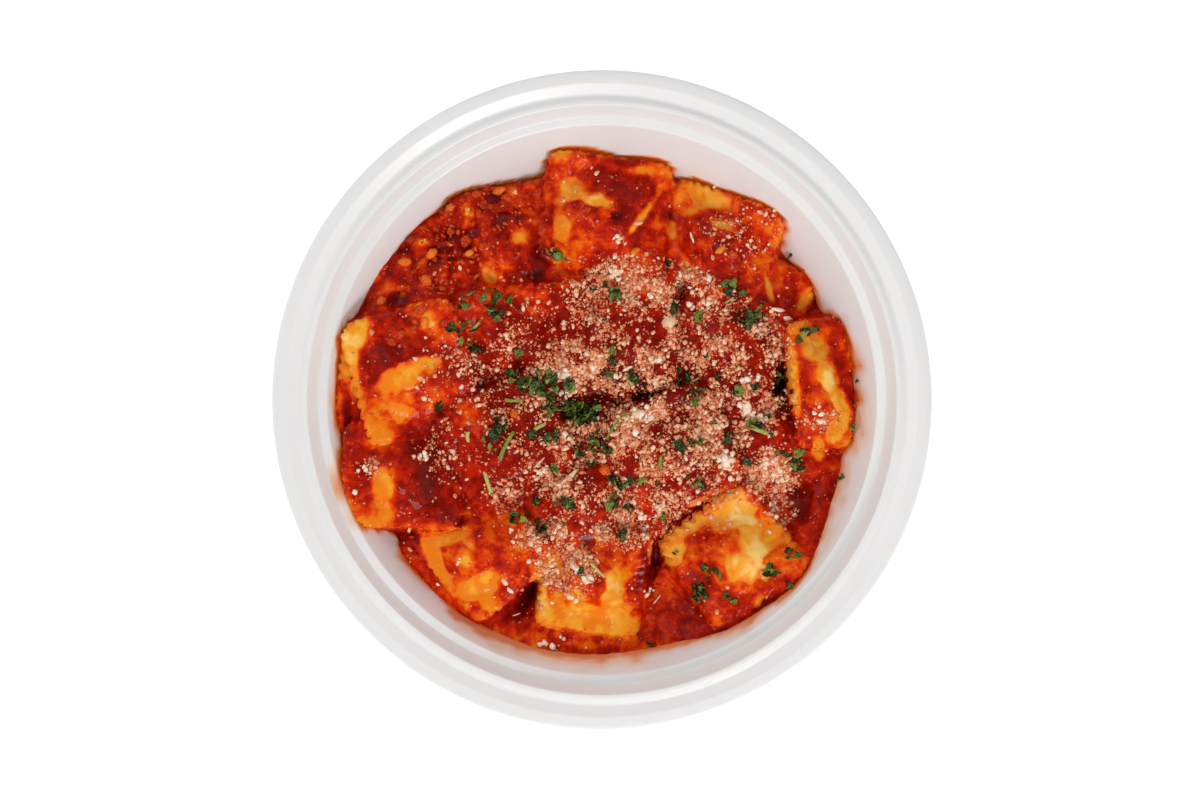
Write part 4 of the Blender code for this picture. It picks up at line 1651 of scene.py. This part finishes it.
@dataclass(frozen=True)
class BitShapes:
    """A few template bits of one kind, each about one millimetre across before scaling."""

    kind: Bit
    variants: int
    seed: int

    def make(self) -> bpy.types.Collection:
        """Builds the templates in a collection of their own.

        Returns:
            The collection.
        """
        collection = bpy.data.collections.new(f"{self.kind.value}_shapes_{self.seed}")
        bpy.context.scene.collection.children.link(collection)
        draw = np.random.default_rng(self.seed)
        for index in range(self.variants):
            bm = getattr(self, self.kind.value)(draw)
            bmesh.ops.recalc_face_normals(bm, faces=bm.faces)
            mesh = bpy.data.meshes.new(f"{self.kind.value}_{index}")
            bm.to_mesh(mesh)
            bm.free()
            mesh.shade_smooth()
            collection.objects.link(bpy.data.objects.new(mesh.name, mesh))
        return collection

    @staticmethod
    def crumb(draw: Dice) -> Shape:
        """A lumpy crumb.

        Args:
            draw: where its random numbers come from.

        Returns:
            The crumb.
        """
        bm = ball(1)
        stretch = draw.uniform(0.6, 1.35, 3)
        for vert in bm.verts:
            vert.co = Vector(vert.co[k] * stretch[k] * draw.uniform(0.6, 1.25) for k in range(3))
        return bm

    @staticmethod
    def grain(draw: Dice) -> Shape:
        """A chipped grain.

        Args:
            draw: where its random numbers come from.

        Returns:
            The grain.
        """
        bm = bmesh.new()
        for axis in range(3):
            for side in (-0.5, 0.5):
                place = draw.normal(0.0, 0.13, 3)
                place[axis] += side * draw.uniform(0.6, 1.2)
                bm.verts.new(Vector(place) * MM)
        bmesh.ops.convex_hull(bm, input=bm.verts)
        return bm

    @staticmethod
    def lump(draw: Dice) -> Shape:
        """A cut, uneven lump with rounded corners.

        Args:
            draw: where its random numbers come from.

        Returns:
            The lump.
        """
        bm = ball(2)
        lean = draw.uniform(-0.35, 0.35, 2)
        for vert in bm.verts:
            x, y, z = vert.co / MM
            push = 1.0 + 0.9 * (abs(x) ** 3 + abs(y) ** 3)
            pushed = Vector((x * push + lean[0] * y, y * push + lean[1] * x, z))
            vert.co = pushed * MM * draw.uniform(0.9, 1.1)
        return bm

    @staticmethod
    def shard(draw: Dice) -> Shape:
        """A grated shred: a crooked, flattened finger of several lumps.

        Args:
            draw: where its random numbers come from.

        Returns:
            The shred.
        """
        bm = ball(2)
        for vert in bm.verts:
            along = vert.co.x / MM
            vert.co.y += 0.5 * draw.normal(0.0, 0.12) * MM + 0.5 * along * along * MM
            vert.co *= draw.uniform(0.82, 1.12)
        return bm

    @staticmethod
    def leaf(draw: Dice) -> Shape:
        """A chopped scrap of leaf: a thin, lobed, jagged plate with a fold along it.

        Args:
            draw: where its random numbers come from.

        Returns:
            The leaf.
        """
        bm = bmesh.new()
        count, lobes = int(draw.integers(9, 13)), int(draw.integers(2, 4))
        cup, twist, fold = draw.uniform(-0.5, 0.6), draw.uniform(-0.6, 0.6), draw.uniform(-0.1, 0.7)
        stretch, phase = draw.uniform(0.5, 0.95), draw.uniform(0, 2 * math.pi)
        rim = []
        for index in range(count):
            angle = 2 * math.pi * index / count
            reach = 0.4 + 0.09 * math.cos(lobes * angle + phase)
            reach *= (1.06 if index % 2 else 0.92) * draw.uniform(0.85, 1.12)
            rim.append((reach * math.cos(angle), reach * math.sin(angle) * stretch))

        def plate(share: float, side: float) -> list[bmesh.types.BMVert]:
            """One ring of the plate's points.

            Args:
                share: size of the ring against the rim.
                side: how far above or below the middle it lies.

            Returns:
                Its points.
            """
            ring = []
            for x, y in ((x * share, y * share) for x, y in rim):
                lift = cup * (x * x + y * y) + twist * x * y + fold * abs(y) + side
                ring.append(bm.verts.new((x * MM, y * MM, lift * MM)))
            return ring

        layers = []
        for side in (0.035, -0.035):
            outer, inner = plate(1.0, side), plate(0.5, 1.5 * side)
            centre = bm.verts.new((0.0, 0.0, 1.5 * side * MM))
            for k in range(count):
                n = (k + 1) % count
                bm.faces.new((outer[k], outer[n], inner[n], inner[k]))
                bm.faces.new((inner[k], inner[n], centre))
            layers.append(outer)
        for k in range(count):
            n = (k + 1) % count
            bm.faces.new((layers[0][k], layers[0][n], layers[1][n], layers[1][k]))
        return bm

    @staticmethod
    def stem(draw: Dice) -> Shape:
        """A bent piece of stem, tapering a little to one end.

        Args:
            draw: where its random numbers come from.

        Returns:
            The stem.
        """
        bm = bmesh.new()
        bend, taper, rings = draw.uniform(-1.2, 1.2), draw.uniform(0.1, 0.5), []
        sides = 7
        for along in np.linspace(-0.5, 0.5, 7):
            thick = 0.5 * (1.0 - taper * (along + 0.5))
            ring = []
            for angle in np.arange(sides) * 2 * math.pi / sides:
                side = bend * (0.25 - along * along) + thick * math.cos(angle)
                ring.append(bm.verts.new((along * MM, side * MM, 0.7 * thick * math.sin(angle) * MM)))
            rings.append(ring)
        for a, b in zip(rings, rings[1:]):
            for k in range(sides):
                bm.faces.new((a[k], a[(k + 1) % sides], b[(k + 1) % sides], b[k]))
        bm.faces.new(rings[0])
        bm.faces.new(rings[-1])
        return bm


@dataclass(frozen=True)
class Sprinkler:
    """A Geometry Nodes tree that sets one of some template bits on each point of a mesh."""

    name: str = "sprinkle"

    def tree(self) -> Tree:
        """Builds the tree.

        Returns:
            The tree.
        """
        tree = bpy.data.node_groups.new(self.name, "GeometryNodeTree")
        kinds = {"Points": "Geometry", "Shapes": "Collection", "Finish": "Material", "Seed": "Int"}
        for name, kind in kinds.items():
            tree.interface.new_socket(name, in_out="INPUT", socket_type=f"NodeSocket{kind}")
        tree.interface.new_socket("Pieces", in_out="OUTPUT", socket_type="NodeSocketGeometry")
        make = tree.nodes.new
        start, end = make("NodeGroupInput"), make("NodeGroupOutput")
        shapes = make("GeometryNodeCollectionInfo")
        shapes.inputs["Separate Children"].default_value = True
        shapes.inputs["Reset Children"].default_value = True
        pick = make("FunctionNodeRandomValue")
        pick.data_type = "INT"
        pick.inputs[4].default_value = 0
        pick.inputs[5].default_value = 50
        marks = {}
        for name in ("turn", "size"):
            marks[name] = make("GeometryNodeInputNamedAttribute")
            marks[name].data_type = "FLOAT_VECTOR"
            marks[name].inputs["Name"].default_value = name
        euler = make("FunctionNodeEulerToRotation")
        instances = make("GeometryNodeInstanceOnPoints")
        instances.inputs["Pick Instance"].default_value = True
        realized, dressed = make("GeometryNodeRealizeInstances"), make("GeometryNodeSetMaterial")
        for source, output, target, socket in (
            (start, "Points", instances, "Points"),
            (start, "Shapes", shapes, "Collection"),
            (start, "Seed", pick, "Seed"),
            (shapes, "Instances", instances, "Instance"),
            (pick, 2, instances, "Instance Index"),
            (marks["turn"], 0, euler, "Euler"),
            (euler, "Rotation", instances, "Rotation"),
            (marks["size"], 0, instances, "Scale"),
            (instances, "Instances", realized, "Geometry"),
            (realized, "Geometry", dressed, "Geometry"),
            (start, "Finish", dressed, "Material"),
            (dressed, "Geometry", end, "Pieces"),
        ):
            tree.links.new(source.outputs[output], target.inputs[socket])
        return tree

    def run(
        self,
        tree: Tree,
        base: Object,
        shapes: BitShapes,
        finish: Material,
        name: str,
    ) -> Object:
        """Sprinkles bits on a mesh's points and returns them as one plain mesh.

        Args:
            tree: the tree from tree().
            base: object whose points carry turn, size and tone.
            shapes: the template bits.
            finish: their material.
            name: the new piece's name.

        Returns:
            The new object.
        """
        collection = shapes.make()
        modifier = base.modifiers.new("sprinkle", "NODES")
        modifier.node_group = tree
        keys = {item.name: item.identifier for item in tree.interface.items_tree}
        modifier[keys["Shapes"]] = collection
        modifier[keys["Finish"]] = finish
        modifier[keys["Seed"]] = shapes.seed
        bpy.context.view_layer.update()
        graph = bpy.context.evaluated_depsgraph_get()
        mesh = bpy.data.meshes.new_from_object(base.evaluated_get(graph))
        base.modifiers.remove(modifier)
        for obj in [base, *collection.objects]:
            bpy.data.objects.remove(obj, do_unlink=True)
        bpy.data.collections.remove(collection)
        mesh.name = name
        return placed(name, mesh)


@dataclass(frozen=True)
class Topping:
    """One kind of topping: how many bits, how big, how they lie and where they fell.

    Loose bits fall by the patches of where; each patch of spots gets its strength's number of bits;
    and each patch of laid is itself one bit, of that length, width and turn.
    """

    name: str
    slot: Slot
    shapes: BitShapes
    count: int = 0
    smallest: float = 1.0
    largest: float = 2.0
    where: tuple[Patch, ...] = ()
    spots: tuple[Patch, ...] = ()
    laid: tuple[Patch, ...] = ()
    everywhere: float = 0.0
    sink: float = 0.25
    tilt: float = 0.5
    skew: float = 2.0
    reach: float = 92.0
    squash: float = 1.0
    on_bare: float = 1.0
    more: float = 1.0
    clumping: int = 53
    first_tone: float = 1.0
    tries: int = 30

    def fallen(self, sauce: Sauce, draw: Dice) -> tuple[Array, Array]:
        """Places of the loose bits and of the bits in the spots.

        Args:
            sauce: the settled sauce.
            draw: where the random numbers come from.

        Returns:
            X and Y of each bit.
        """
        x, y = draw.uniform(-self.reach, self.reach, (2, self.count * self.tries))
        fine = rough(x, y, 1.7, 2, self.shapes.seed)
        clumps = 0.5 + 1.4 * rough(x, y, 5.0, 2, self.clumping) + fine
        clumps = 0.6 * np.clip(clumps, 0.04, 2.0)
        wet = self.on_bare + (1.0 - self.on_bare) * sauce.cover.at(x, y)
        chance = np.maximum(patched(self.where, x, y), self.everywhere) * clumps * wet
        radius = np.hypot(x, y)
        on_food = sauce.ground.at(x, y) > sauce.bowl.wall_height(radius) + 0.3
        kept = np.flatnonzero((draw.random(len(x)) < chance) & on_food)[: self.count]
        places = [np.stack([x[kept], y[kept]])]
        places += [np.stack(spot.drawn(round(self.more * spot.strength), draw)) for spot in self.spots]
        places += [np.array([[patch.x], [patch.y]]) for patch in self.laid]
        return np.concatenate(places, axis=1)

    def points(self, sauce: Sauce) -> Object:
        """Drops the bits on the heap.

        Args:
            sauce: the settled sauce.

        Returns:
            An object of loose points that carry turn, size and tone.
        """
        draw = np.random.default_rng(self.shapes.seed * 7 + 3)
        x, y = self.fallen(sauce, draw)
        amount, step, steepest = len(x), 0.8, 1.5
        size = self.smallest + (self.largest - self.smallest) * draw.random(amount) ** self.skew
        scale = np.stack([size, size, size * self.squash], axis=1)
        tilt, spin = draw.normal(0, self.tilt, (2, amount)), draw.uniform(0, 2 * math.pi, amount)
        for index, patch in enumerate(self.laid, amount - len(self.laid)):
            scale[index] = patch.length, patch.width, patch.width
            spin[index] = math.radians(patch.turn)
        ground = sauce.ground
        slope_x = (ground.at(x + step, y) - ground.at(x - step, y)) / (2 * step)
        slope_y = (ground.at(x, y + step) - ground.at(x, y - step)) / (2 * step)
        pitch = np.arctan(np.clip(slope_y, -steepest, steepest)) + tilt[0]
        roll = -np.arctan(np.clip(slope_x, -steepest, steepest)) + tilt[1]
        z = ground.at(x, y) + scale[:, 2] * (0.5 - self.sink) * 0.6
        tone = {"tone": draw.random(amount) ** self.first_tone}
        obj = mesh_object(f"{self.name}_points", np.stack([x, y, z], axis=1), [], tone)
        for key, values in (("turn", np.stack([pitch, roll, spin], axis=1)), ("size", scale)):
            layer = obj.data.attributes.new(key, "FLOAT_VECTOR", "POINT")
            layer.data.foreach_set("vector", values.astype(np.float32).ravel())
        return obj


# How thickly the grated cheese fell.
CHEESED = ovals(
    (12, -2, 124, 108, 0.5), (-5, 12, 36, 24, 1.5, 20), (14, -8, 30, 20, 1.5, 30), (-12, -26, 30, 18, 1, 40),
    (36, -10, 34, 28), (19, -29, 34, 18, 0.8, 20), (60, -25, 26, 22, 1.3, -30), (54, -4, 18, 22, 1.3),
    (20, 38, 56, 28, 1, -10), (0, 44, 28, 18, 0.9), (-12, -60, 26, 22, 1.1), (7, -46, 24, 18, 0.9),
    (-20, -48, 26, 14, 0.8, 20), (-58, -20, 18, 22, 0.2, 20), (-34, -30, 18, 22, 0.45),
    (50, 58, 36, 28, 0.2), (78, -5, 14, 14, 0.7), (-82, -23, 12, 10, 0.3), (-48, 6, 36, 44, 0.2),
    (40, 20, 60, 40, 0.6), (64, -40, 14, 14, 0.5),
)

# Bigger lumps of cheese, and how many crumbs each is of.
LUMPS = ovals(
    (24, 27.5, 6, 5.5, 10), (5, 45.5, 5, 6, 8), (52, -4, 6, 9, 13, 20), (57, -7, 6, 6, 9),
    (44.5, -21.5, 6, 9, 15, -20), (47, -27, 4, 4, 4), (43, -9, 4, 3, 3), (42, -1, 3, 3, 2), (51, 6, 3, 4, 3),
    (56, 8, 3, 2, 2), (13, -5, 7, 5, 8, 20), (17, -4, 3, 5, 4), (15, -8, 5, 4, 4), (-13, 9, 5, 4, 5),
    (-14, 3, 7, 4, 6, -20), (-7, 16, 4, 4, 3), (-3, 12, 3, 4, 3), (6, 8, 5, 3, 3), (19, 14, 4, 3, 3),
    (-13, -13, 3, 3, 2), (-25, -12, 2, 2), (-22, -26, 6, 4, 6), (-13, -17, 4, 4, 3), (12, -12, 4, 4, 3),
    (28, -28, 3, 3, 2), (32, -23, 5, 4, 4), (21, -38, 4, 3, 2), (61, -40, 5, 7, 7), (38, 43, 3, 3, 2),
    (27, 43, 4, 6, 4), (33, 39, 4, 4, 3), (31, 34, 4, 4, 3), (37, 34, 5, 4, 4, 30), (52, 55, 3, 3),
    (59, 56, 2, 2), (7, 57, 6, 5, 4), (18, 38, 6, 5, 4), (-9, -59, 6, 4, 7, -20), (-6, -63, 5, 4, 5),
    (-11, -70, 6, 3, 4), (-18, -72, 2, 3), (-26, -57, 3, 3, 2), (-32, -46, 3, 3, 2), (-18, -62, 6, 5, 6),
    (-17, -58, 4, 4, 3), (-14, -85, 4, 3, 2), (-6, -88, 3, 2), (-20, -87, 6, 3, 4), (17, -69, 4, 5, 4),
    (-50, -57, 3, 3, 2), (-58, -65, 2, 2), (-63, -20, 5, 3, 4), (-84, -24, 4, 3, 2), (-86, -33, 2, 2),
    (60, -24, 8, 6, 7, -30), (64, -29, 8, 6, 7), (-66, 15, 3, 2), (-49, 5, 3, 2), (-2, -46, 4, 7, 5),
    (14, -42, 4, 6, 4), (16, -47, 4, 4, 3), (78, -5, 8, 6, 5), (-13, 78.5, 2, 2),
)

# Shreds of cheese.
SHREDS = ovals(
    (-11.5, -27.5, 9, 1.8, 1, 43), (-22, -22, 6, 0.9, 1, 45), (13, 63, 4.5, 1.4, 1, 10),
    (63, 32, 9, 1.6, 1, -8), (66, 29, 3, 1.8), (32, 58, 6, 0.9, 1, -75), (9.5, 11.5, 5, 1.4, 1, 30),
    (-34.5, -64.5, 3.6, 1.9, 1, -50), (-32.5, -67.5, 3, 1.7, 1, -40), (19, -73, 8, 0.6, 1, 52),
    (-31, -77, 5, 0.6, 1, 20), (-28, 32, 4, 1.5, 1, 80), (44, -22, 6, 3.4, 1, -70),
    (24, 27.5, 5.4, 4.2, 1, 20), (5, 45.5, 4, 3.2, 1, 60), (13, -5, 5, 3.2, 1, 15), (52, -3, 6, 3.2, 1, 75),
    (-13, 8.5, 4.4, 2.6, 1, 30),
)

# Where the cook dropped the parsley, and how many scraps of leaf lie there.
HERBED = ovals(
    (-23, 5, 14, 10, 22), (-19, 8, 5, 4, 4), (-11, 5, 6, 5, 5), (-10, -4, 10, 9, 18), (-4, -4, 7, 6, 9),
    (-19, -2, 9, 6, 9, -40), (4, 15, 5, 6, 4), (3, 9, 4, 4, 3), (10, 8, 4, 4, 3, -50), (28, 10, 3, 3, 2),
    (31, 9, 5, 4, 4), (-32, 9, 4, 3, 2), (-18, -13, 8, 5, 6, -20), (-26, -11, 4, 3, 2),
    (-38, -13, 9, 9, 8, -50), (-2, -15, 6, 8, 7), (2, -19, 5, 5, 4), (-9, -19, 4, 4, 2),
    (-4, -22, 6, 3, 3, 20), (-17, -24, 3, 6, 3), (-24, -36, 4, 4, 3), (-13, -37, 7, 5, 6), (4, -29, 6, 5, 4),
    (8, -30, 6, 5, 5), (4, -37, 5, 6, 4, -30), (14, -29, 4, 4, 2), (20, -29, 3, 3), (27, -16, 5, 5, 4),
    (34, -15, 6, 5, 4), (32, -27, 4, 3, 2), (34, -30, 5, 4, 3), (10, -38, 3, 3, 2), (34, 3, 4, 3, 2),
    (49, 3, 3, 3, 2), (33, -1, 4, 3, 2), (41, 9, 5, 3, 2), (46, -13, 6, 4, 3), (54, -9, 6, 4, 4),
    (52, -22, 3, 3, 2), (64, -19, 5, 2, 2), (70, -22, 6, 10, 9), (63, 8, 6, 5, 3), (55, 5, 4, 3, 2),
    (26, 32, 4, 4, 2), (34.5, 30, 4, 3, 2), (53, 30, 11, 9, 12), (44, 41, 6, 6, 4), (50, 38, 5, 4, 3, 30),
    (72, 23, 9, 5, 6, 35), (-30, -41, 7, 5, 5), (-24, -44, 4, 7, 3), (-20, -46, 4, 5, 3), (7, -48, 4, 4, 3),
    (-47, 37, 5, 4, 3), (-49, 33, 3, 3), (-38, 36, 7, 8, 7), (-33, 36, 4, 4, 3), (-38, 30, 5, 5, 4),
    (-49, 24, 9, 9, 9), (-44, 18, 5, 5, 4), (-30, 17, 4, 4, 3), (-33, 9, 4, 4, 3), (-36, -9, 6, 5, 5),
    (-16.5, 51, 7, 6, 5), (-2, 39, 5, 4, 3), (5, 38, 5, 4, 4), (35, -67.5, 9, 8, 8), (38, -61, 7, 6, 5),
    (59, -60, 6, 4, 4), (67, -55, 5, 4, 3), (45, -70, 5, 4, 3), (25, -54, 4, 3), (66, -66, 3, 3),
    (91, 7, 1, 1, 2), (89, -9.5, 1, 1), (68, 52, 1, 1), (17, -87, 1, 1), (86, -27, 2, 2), (-57, -2, 2, 2),
)

# Bits of parsley stem.
STEMS = ovals(
    (-33.5, -16, 11, 1.5, 1, 64), (-40.5, -27.5, 11, 1.6, 1, 105), (-1.5, -60, 7, 1.1, 1, -45),
    (57, -11, 9, 1.8, 1, -20), (3.5, -11, 7, 1.1, 1, 60), (-31, 0, 7, 1.4), (-21.5, -9.5, 8, 1.5, 1, 25),
    (21, -22, 5, 1.4, 1, 90), (-45, 26, 5, 1.4, 1, 40), (-18.5, 8, 5, 1.8, 1, 45), (-47, -13, 4, 1.6, 1, 90),
    (46, 36, 5, 1.1, 1, 35), (72, 23, 8, 1.5, 1, 35), (33, 7, 4, 1.0, 1, 30), (7, -7, 6, 1.2, 1, 50),
    (-7, -1, 4, 1.3, 1, 80), (10, 7, 4, 1.6, 1, -50), (-27, 6, 4, 1.5, 1, 60),
)

TOPPINGS = (
    (
        Topping("meat_crumbs", Slot.MEAT, BitShapes(Bit.LUMP, 8, 101), 150, 1.6, 4.4, MEATY,
                sink=0.9, on_bare=-0.8, squash=0.7, clumping=61),
        CrumbFinish("minced_meat", (0.40, 0.014, 0.001), (0.70, 0.075, 0.002), 0.3, 0.05, 0.8, 0.6),
    ),
    (
        Topping("tomato_bits", Slot.SAUCE, BitShapes(Bit.CRUMB, 8, 102), 420, 1.0, 2.8, MEATY,
                everywhere=0.06, sink=0.8, on_bare=-0.8, squash=0.7, clumping=67),
        CrumbFinish("tomato_bits", (0.54, 0.02, 0.0015), (0.78, 0.10, 0.004), 0.25, 0.05, 0.7, 0.5),
    ),
    (
        Topping("carrot_bits", Slot.MEAT, BitShapes(Bit.LUMP, 6, 109), laid=CARROTS, sink=0.7, tilt=0.2),
        CrumbFinish("carrot_bits", (0.66, 0.06, 0.002), (0.86, 0.22, 0.015), 0.25, 0.1, fleck=0.5),
    ),
    (
        Topping("cheese_dust", Slot.CHEESE, BitShapes(Bit.GRAIN, 12, 103), 12500, 0.45, 1.35, CHEESED,
                everywhere=0.008, sink=0.45, tilt=0.6, skew=1.2, on_bare=0.5),
        CrumbFinish("grated_cheese", (0.70, 0.095, 0.028), (0.94, 0.50, 0.25), 0.5, 0.15),
    ),
    (
        Topping("cheese_crumbs", Slot.CHEESE, BitShapes(Bit.CRUMB, 8, 107), 3600, 1.0, 2.6, CHEESED,
                everywhere=0.006, sink=0.5, tilt=0.6, skew=1.3, squash=0.7),
        CrumbFinish("cheese_crumbs", (0.76, 0.18, 0.06), (0.97, 0.68, 0.45), 0.5, 0.12, fleck=0.4),
    ),
    (
        Topping("cheese_lumps", Slot.CHEESE, BitShapes(Bit.CRUMB, 8, 104), 0, 1.2, 2.6, spots=LUMPS,
                sink=0.3, skew=1.3, squash=0.8, more=1.3),
        CrumbFinish("cheese_lumps", (0.88, 0.55, 0.32), (0.97, 0.85, 0.71), 0.5, 0.15),
    ),
    (
        Topping("cheese_shreds", Slot.CHEESE, BitShapes(Bit.SHARD, 6, 108), laid=SHREDS, sink=0.5, tilt=0.1),
        CrumbFinish("cheese_shreds", (0.84, 0.50, 0.28), (0.97, 0.84, 0.70), 0.5, 0.15, fleck=0.45),
    ),
    (
        Topping("parsley_leaves", Slot.PARSLEY, BitShapes(Bit.LEAF, 14, 105), 14, 1.8, 5.6, CHEESED,
                spots=HERBED, sink=0.2, tilt=0.5, skew=1.0, more=1.5, first_tone=2.2),
        CrumbFinish("parsley_leaf", (0.002, 0.007, 0.001), (0.22, 0.30, 0.035), 0.3, 0.05,
                    fleck=0.3, gloss=0.3),
    ),
    (
        Topping("parsley_stems", Slot.PARSLEY, BitShapes(Bit.STEM, 5, 106), laid=STEMS, sink=0.0, tilt=0.12),
        CrumbFinish("parsley_stem", (0.16, 0.22, 0.02), (0.52, 0.52, 0.14), 0.35, 0.1),
    ),
)


# ---------------------------------------------------------------- studio


@dataclass
class Studio:
    """Plain pale floor, soft light from the lower right, and a camera straight above."""

    camera_height: float = 0.757
    camera_side: float = -0.0007
    focal_length: float = 60.6
    floor_size: float = 4.0
    zenith: float = 0.15
    horizon: float = 0.99

    def build(self) -> None:
        """Sets the floor, the lights, the surroundings and the camera."""
        self.floor()
        self.light("key", (0.4, -0.88, 1.0), 0.42, 10.8, (1.0, 0.985, 0.965))
        self.light("fill", (-0.75, 0.35, 0.85), 0.9, 4.4, (1.0, 1.0, 1.0))
        self.surroundings()
        self.camera()

    def floor(self) -> None:
        """A plain floor just under the bowl."""
        half = self.floor_size / 2 / MM
        corners = np.array([[-half, -half, 0], [half, -half, 0], [half, half, 0], [-half, half, 0]])
        obj = mesh_object("floor", corners, [[0, 1, 2, 3]])
        shader = Shader("pale_floor")
        shader.set(Base_Color=(0.4, 0.4, 0.4, 1.0), Roughness=0.9)
        shader.set(Emission_Color=(1.0, 1.0, 1.0, 1.0), Emission_Strength=0.78)
        obj.data.materials.append(shader.material)

    @staticmethod
    def light(name: str, place: Colour, size: float, power: float, colour: Colour) -> None:
        """A square area light that looks at the bowl.

        Args:
            name: its name.
            place: where it hangs.
            size: its side.
            power: its strength in watts.
            colour: its colour.
        """
        data = bpy.data.lights.new(name, "AREA")
        data.energy, data.size, data.color = power, size, colour
        obj = placed(name, data)
        obj.location = place
        aim = Vector((0.0, 0.0, 0.03)) - Vector(place)
        obj.rotation_euler = aim.to_track_quat("-Z", "Y").to_euler()

    def surroundings(self) -> None:
        """White light from all round, brighter towards the horizon than overhead."""
        world = bpy.data.worlds.new("studio")
        bpy.context.scene.world = world
        world.use_nodes = True
        tree = world.node_tree
        parts = tree.nodes.new("ShaderNodeSeparateXYZ")
        tree.links.new(tree.nodes.new("ShaderNodeTexCoord").outputs["Generated"], parts.inputs[0])
        sky = tree.nodes.new("ShaderNodeMapRange")
        for index, value in ((1, 0.0), (2, 1.0), (3, self.horizon), (4, self.zenith)):
            sky.inputs[index].default_value = value
        tree.links.new(parts.outputs["Z"], sky.inputs[0])
        tree.links.new(sky.outputs["Result"], tree.nodes["Background"].inputs["Strength"])
        tree.nodes["Background"].inputs["Color"].default_value = (1.0, 1.0, 1.0, 1.0)
        bpy.context.scene.view_settings.view_transform = "Standard"

    def camera(self) -> None:
        """The camera, looking straight down with +Y at the top of its view."""
        data = bpy.data.cameras.new("camera")
        data.lens, data.sensor_width = self.focal_length, 36.0
        data.clip_start, data.clip_end = 0.01, 10.0
        obj = placed("camera", data)
        obj.location = (self.camera_side, 0.0, self.camera_height)
        bpy.context.scene.camera = obj


# ---------------------------------------------------------------- the whole


def main() -> None:
    """Builds the bowl, the ravioli, the sauce and the toppings, and sets up the studio."""
    logging.basicConfig(level=logging.INFO, format="%(message)s")
    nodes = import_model()["nodes"]
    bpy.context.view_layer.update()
    bowl, sauce = Bowl(), Sauce()
    pasta = Field(values=np.full((GRID, GRID), NO_PASTA))
    for raviolo in RAVIOLI:
        raviolo.measure(nodes[raviolo.node])
        x, y, _, top, _ = raviolo.shape(HEAP_POINTS)
        pasta.raise_to(x, y, top)
    pasta.values = np.where(pasta.values < 0, spread(pasta.values, 1), pasta.values)
    sauce.settle(bowl, nodes["sauce"], pasta)
    bowl.build(PlasticFinish().build(), sauce.food_edge())
    pasta_finish = PastaFinish().build()
    for raviolo in RAVIOLI:
        raviolo.build(sauce, pasta_finish)
    sauce.build(SauceFinish().build())
    sprinkler = Sprinkler()
    tree = sprinkler.tree()
    for topping, look in TOPPINGS:
        finish = look.build()
        obj = sprinkler.run(tree, topping.points(sauce), topping.shapes, finish, topping.name)
        dress(obj, finish, topping.slot.value)
    Studio().build()


if __name__ == "__main__":
    main()
